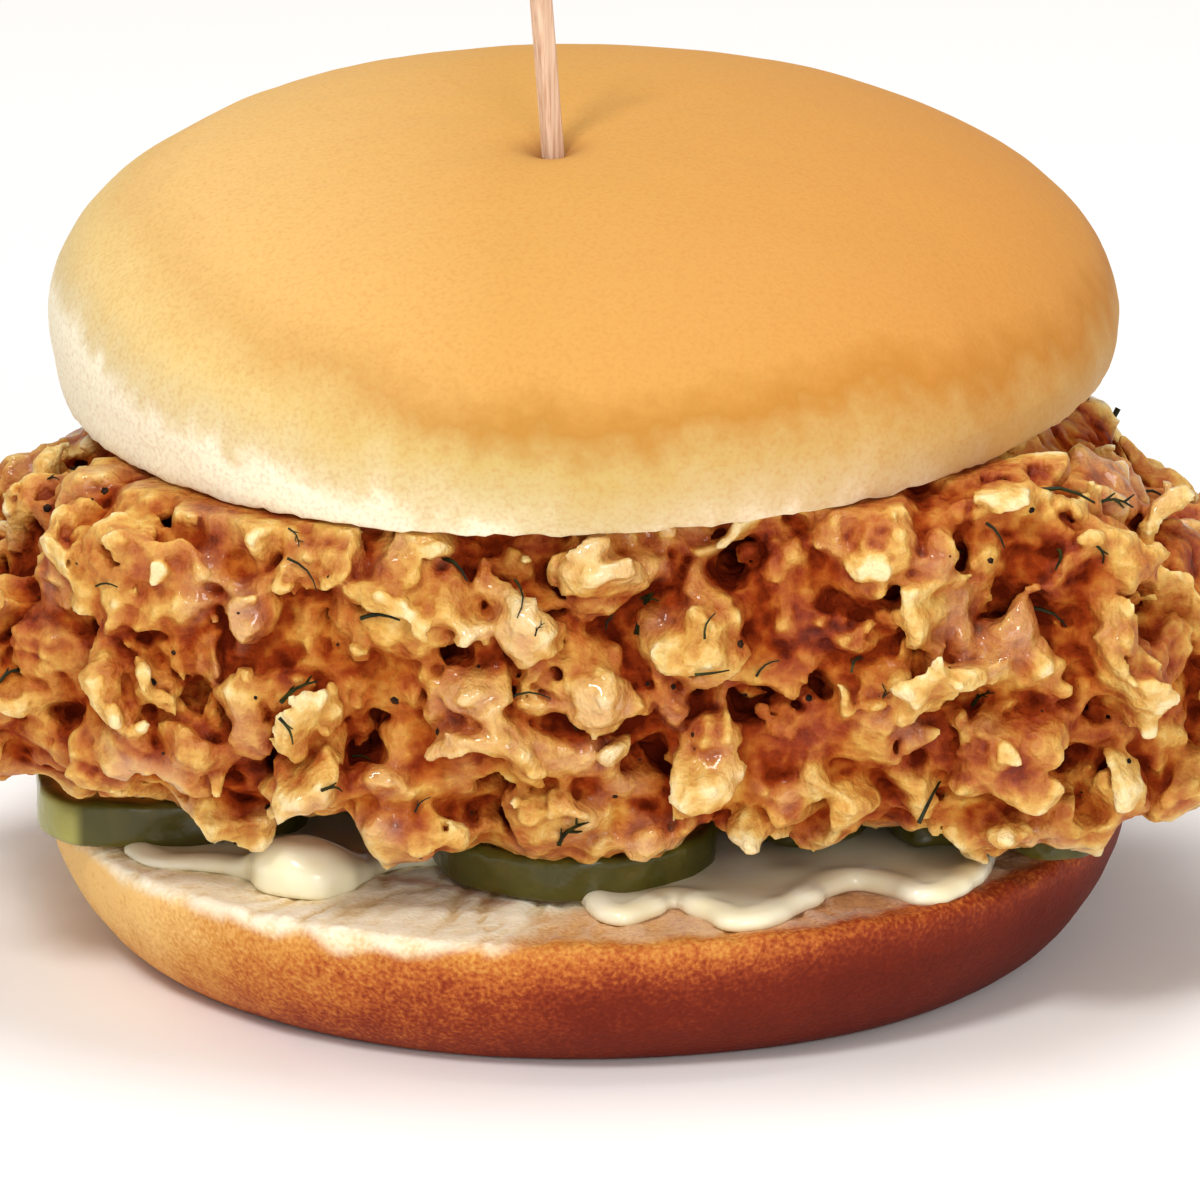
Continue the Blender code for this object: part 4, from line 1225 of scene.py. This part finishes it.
def fried_crust_finish():
    """Deep-fried breading under a thin butter glaze, wet: gold on the flakes and raised edges, partly their
    own colour and partly painted light, and dark red-brown in the hollows as painted shade.
    """
    made, tree, place = new_material("glazed_fried_crust")
    fine, broad, flake, glaze = (
        add(tree, "ShaderNodeAttribute", attribute_name=label).outputs["Fac"]
        for label in ("fine", "broad", "flake", "glaze")
    )
    patch, spot, grain = (
        add(tree, "ShaderNodeTexNoise", {0: place, "Scale": per_metre(size), "Detail": detail}).outputs[0]
        for size, detail in ((8.33333, 2.0), (2.63158, 2.0), (0.90909, 4.0))
    )
    # How gold the crust is: raised edges lightest and hollows darkest as painted light and shade, the
    # flakes gold partly by their own colour and partly as painted light, and uneven frying
    terms = ((fine, 0.4), (broad, 0.2), (flake, 0.13), (patch, 0.9), (spot, 0.85), (grain, 0.3))
    share = total(tree, -0.695, *terms)
    stops = (
        (0.0, "5C1A08"), (0.2, "903612"), (0.38, "B26022"), (0.54, "C48236"), (0.7, "D8A54E"),
        (0.86, "E8C276"), (1.0, "F2DAA4"),
    )
    crust = add(tree, "ShaderNodeValToRGB", {0: share}, stops=stops).outputs[0]
    # Hollows get no wet shine and no cream glaze tint, which stands in for their shade
    bare = add(tree, "ShaderNodeMapRange", {0: broad, 1: -0.3, 2: 1.0}).outputs[0]
    wet = add(tree, "ShaderNodeMath", {0: bare, 1: glaze}, operation="MULTIPLY").outputs[0]
    relief = total(tree, 0.0, (grain, 1.0), (spot, 0.8))
    bump = add(tree, "ShaderNodeBump", {"Height": relief, "Strength": 0.8, "Distance": 0.9 * MM}).outputs[0]
    film = add(tree, "ShaderNodeBump", {"Height": spot, "Strength": 0.5, "Distance": 0.5 * MM}).outputs[0]
    sockets = {
        "Base Color": layered(tree, crust, (total(tree, 0.0, (wet, 0.4)), "DAAA6C")),
        "Roughness": add(tree, "ShaderNodeMapRange", {0: wet, 3: 0.5, 4: 0.3}).outputs[0],
        "Specular IOR Level": total(tree, 0.0, (bare, 0.4)),
        "Normal": bump,
        "Coat Weight": wet,
        "Coat Roughness": 0.06,
        "Coat IOR": 1.6,
        "Coat Normal": film,
        "Subsurface Weight": 0.25,
        "Subsurface Radius": (1.0, 0.5, 0.2),
        "Subsurface Scale": 2.0 * MM,
    }
    return finished(made, tree, sockets)


def pickle_finish():
    """Dill pickle slices: wet, dark green rind round olive-yellow flesh."""
    made, tree, place = new_material("dill_pickle")
    rind, light = (
        add(tree, "ShaderNodeAttribute", attribute_name=label).outputs["Fac"] for label in ("rind", "light")
    )
    cloud, speck = (
        add(tree, "ShaderNodeTexNoise", {0: place, "Scale": per_metre(size), "Detail": detail}).outputs[0]
        for size, detail in ((3.84615, 3.0), (0.83333, 2.0))
    )
    moved = total(tree, 0.0, (rind, 1.0), (cloud, 1.6))
    share = add(tree, "ShaderNodeMapRange", {0: moved, 1: -1.6, 2: 0.7}).outputs[0]
    stops = ((0.0, "E0B44C"), (0.35, "B88E38"), (0.6, "6C5E20"), (1.0, "4C4816"))
    colour = add(tree, "ShaderNodeValToRGB", {0: share}, stops=stops).outputs[0]
    bump = add(tree, "ShaderNodeBump", {"Height": speck, "Strength": 0.3, "Distance": 0.3 * MM}).outputs[0]
    sockets = {
        "Base Color": layered(tree, colour, (light, "A09C50")),
        "Roughness": 0.3,
        "Specular IOR Level": 0.25,
        "Normal": bump,
        "Coat Weight": 0.2,
        "Coat Roughness": 0.1,
        "Subsurface Weight": 0.2,
        "Subsurface Radius": (0.8, 1.0, 0.3),
        "Subsurface Scale": 2.0 * MM,
    }
    return finished(made, tree, sockets)


def clouded_finish(name, size, stops, sockets, stretch=1.0, relief=None):
    """A material whose one soft pattern sets its colour and, where it is given, its relief."""
    made, tree, place = new_material(name)
    along = add(tree, "ShaderNodeMapping", {0: place, "Scale": (1.0, 1.0, 1 / stretch)}).outputs[0]
    cloud = add(tree, "ShaderNodeTexNoise", {0: along, "Scale": per_metre(size), "Detail": 2.0}).outputs[0]
    colour = add(tree, "ShaderNodeValToRGB", {0: cloud}, stops=stops).outputs[0]
    sockets = {"Base Color": colour, **sockets}
    if relief:
        strength, distance = relief
        bump = {"Height": cloud, "Strength": strength, "Distance": distance * MM}
        sockets["Normal"] = add(tree, "ShaderNodeBump", bump).outputs[0]
    return finished(made, tree, sockets)


def mayonnaise_finish():
    """Egg mayonnaise: a smooth, glossy, faintly yellow emulsion that light enters a little."""
    sockets = {
        "Roughness": 0.2,
        "Subsurface Weight": 0.3,
        "Subsurface Radius": (1.0, 0.9, 0.6),
        "Subsurface Scale": 2.0 * MM,
    }
    stops = ((0.3, "F5ECC4"), (0.7, "FAF4D8"))
    return clouded_finish("egg_mayonnaise", 4.54545, stops, sockets, relief=(0.15, 0.4))


def wood_finish():
    """Split birch, planed dry: pale pinkish wood with fibres along the stick."""
    stops = ((0.3, "C79A7C"), (0.55, "E2BFA2"), (0.8, "EBCFB5"))
    sockets = {"Roughness": 0.6}
    return clouded_finish("birch_stick", 0.238095, stops, sockets, stretch=25.0, relief=(0.4, 0.2))


def dill_finish():
    """Chopped dill, fried and wet with butter: dark olive green."""
    stops = ((0.35, "141707"), (0.6, "282B0E"), (0.75, "45461A"))
    return clouded_finish("chopped_dill", 2.0, stops, {"Roughness": 0.5, "Specular IOR Level": 0.15})


def pepper_finish():
    """Cracked black pepper: dry, near black with brown."""
    sockets = {"Roughness": 0.7, "Specular IOR Level": 0.15}
    return clouded_finish("cracked_black_pepper", 1.11111, ((0.4, "140A05"), (0.7, "40230F")), sockets)


def floor_finish():
    """A white painted studio board."""
    made, tree, _ = new_material("white_board")
    return finished(made, tree, {"Base Color": linear("FFFCF9"), "Roughness": 0.7})


# Studio


def make_camera():
    """The photo's view of the sandwich."""
    data = bpy.data.cameras.new("camera")
    data.sensor_width = 36.0
    data.lens = PIXELS_PER_MM * VIEW_DISTANCE / PHOTO_SIDE * data.sensor_width
    data.shift_x = (PHOTO_SIDE / 2 - LOOK_AT_PIXEL[0]) / PHOTO_SIDE
    data.shift_y = (LOOK_AT_PIXEL[1] - PHOTO_SIDE / 2) / PHOTO_SIDE
    data.clip_start, data.clip_end = 0.1, 20.0
    camera = bpy.data.objects.new("camera", data)
    back = Vector((0, -math.cos(VIEW_HEIGHT), math.sin(VIEW_HEIGHT)))
    camera.location = (Vector((0, 0, LOOK_AT_HEIGHT)) + back * VIEW_DISTANCE) * MM
    camera.rotation_euler = (math.pi / 2 - VIEW_HEIGHT, 0, 0)
    bpy.context.scene.collection.objects.link(camera)
    bpy.context.scene.camera = camera


def add_light(name, place, size, power):
    """A square soft light that looks at the sandwich's middle, in metres and watts."""
    data = bpy.data.lights.new(name, "AREA")
    data.shape = "SQUARE"
    data.size = size
    data.energy = power
    light = bpy.data.objects.new(name, data)
    light.location = place
    light.rotation_euler = (Vector((0, 0, 0.04)) - Vector(place)).to_track_quat("-Z", "Y").to_euler()
    bpy.context.scene.collection.objects.link(light)


def make_studio():
    """A white floor and soft white light, most of it from the front left and above."""
    bm = bmesh.new()
    bmesh.ops.create_grid(bm, x_segments=1, y_segments=1, size=6.0)
    mesh = bpy.data.meshes.new("floor")
    bm.to_mesh(mesh)
    bm.free()
    mesh.materials.append(floor_finish())
    floor = bpy.data.objects.new("floor", mesh)
    bpy.context.scene.collection.objects.link(floor)
    world = bpy.data.worlds.new("studio")
    world.use_nodes = True
    background = world.node_tree.nodes["Background"]
    background.inputs["Color"].default_value = linear("FFFFFF")
    background.inputs["Strength"].default_value = 0.46
    bpy.context.scene.world = world
    add_light("key", (-0.45, -0.8, 1.12), 0.28, 8.4)
    add_light("top", (0.1, 0.1, 1.0), 0.5, 4.2)
    add_light("front", (0.35, -1.2, 0.55), 0.35, 4.6)
    add_light("card", (0.15, -1.35, 0.12), 0.5, 2.2)
    bpy.context.scene.view_settings.view_transform = "Standard"


def dress():
    """Every piece in its finish; the solid pick stays, with wood on it."""
    make_crown(bun_crown_finish())
    make_heel(bun_heel_finish())
    make_mayonnaise(mayonnaise_finish())
    make_pickles(pickle_finish())
    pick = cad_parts["pick"]
    pick.data.materials.clear()
    pick.data.materials.append(wood_finish())
    season(make_fillet(fried_crust_finish()))


make_camera()
make_studio()
dress()
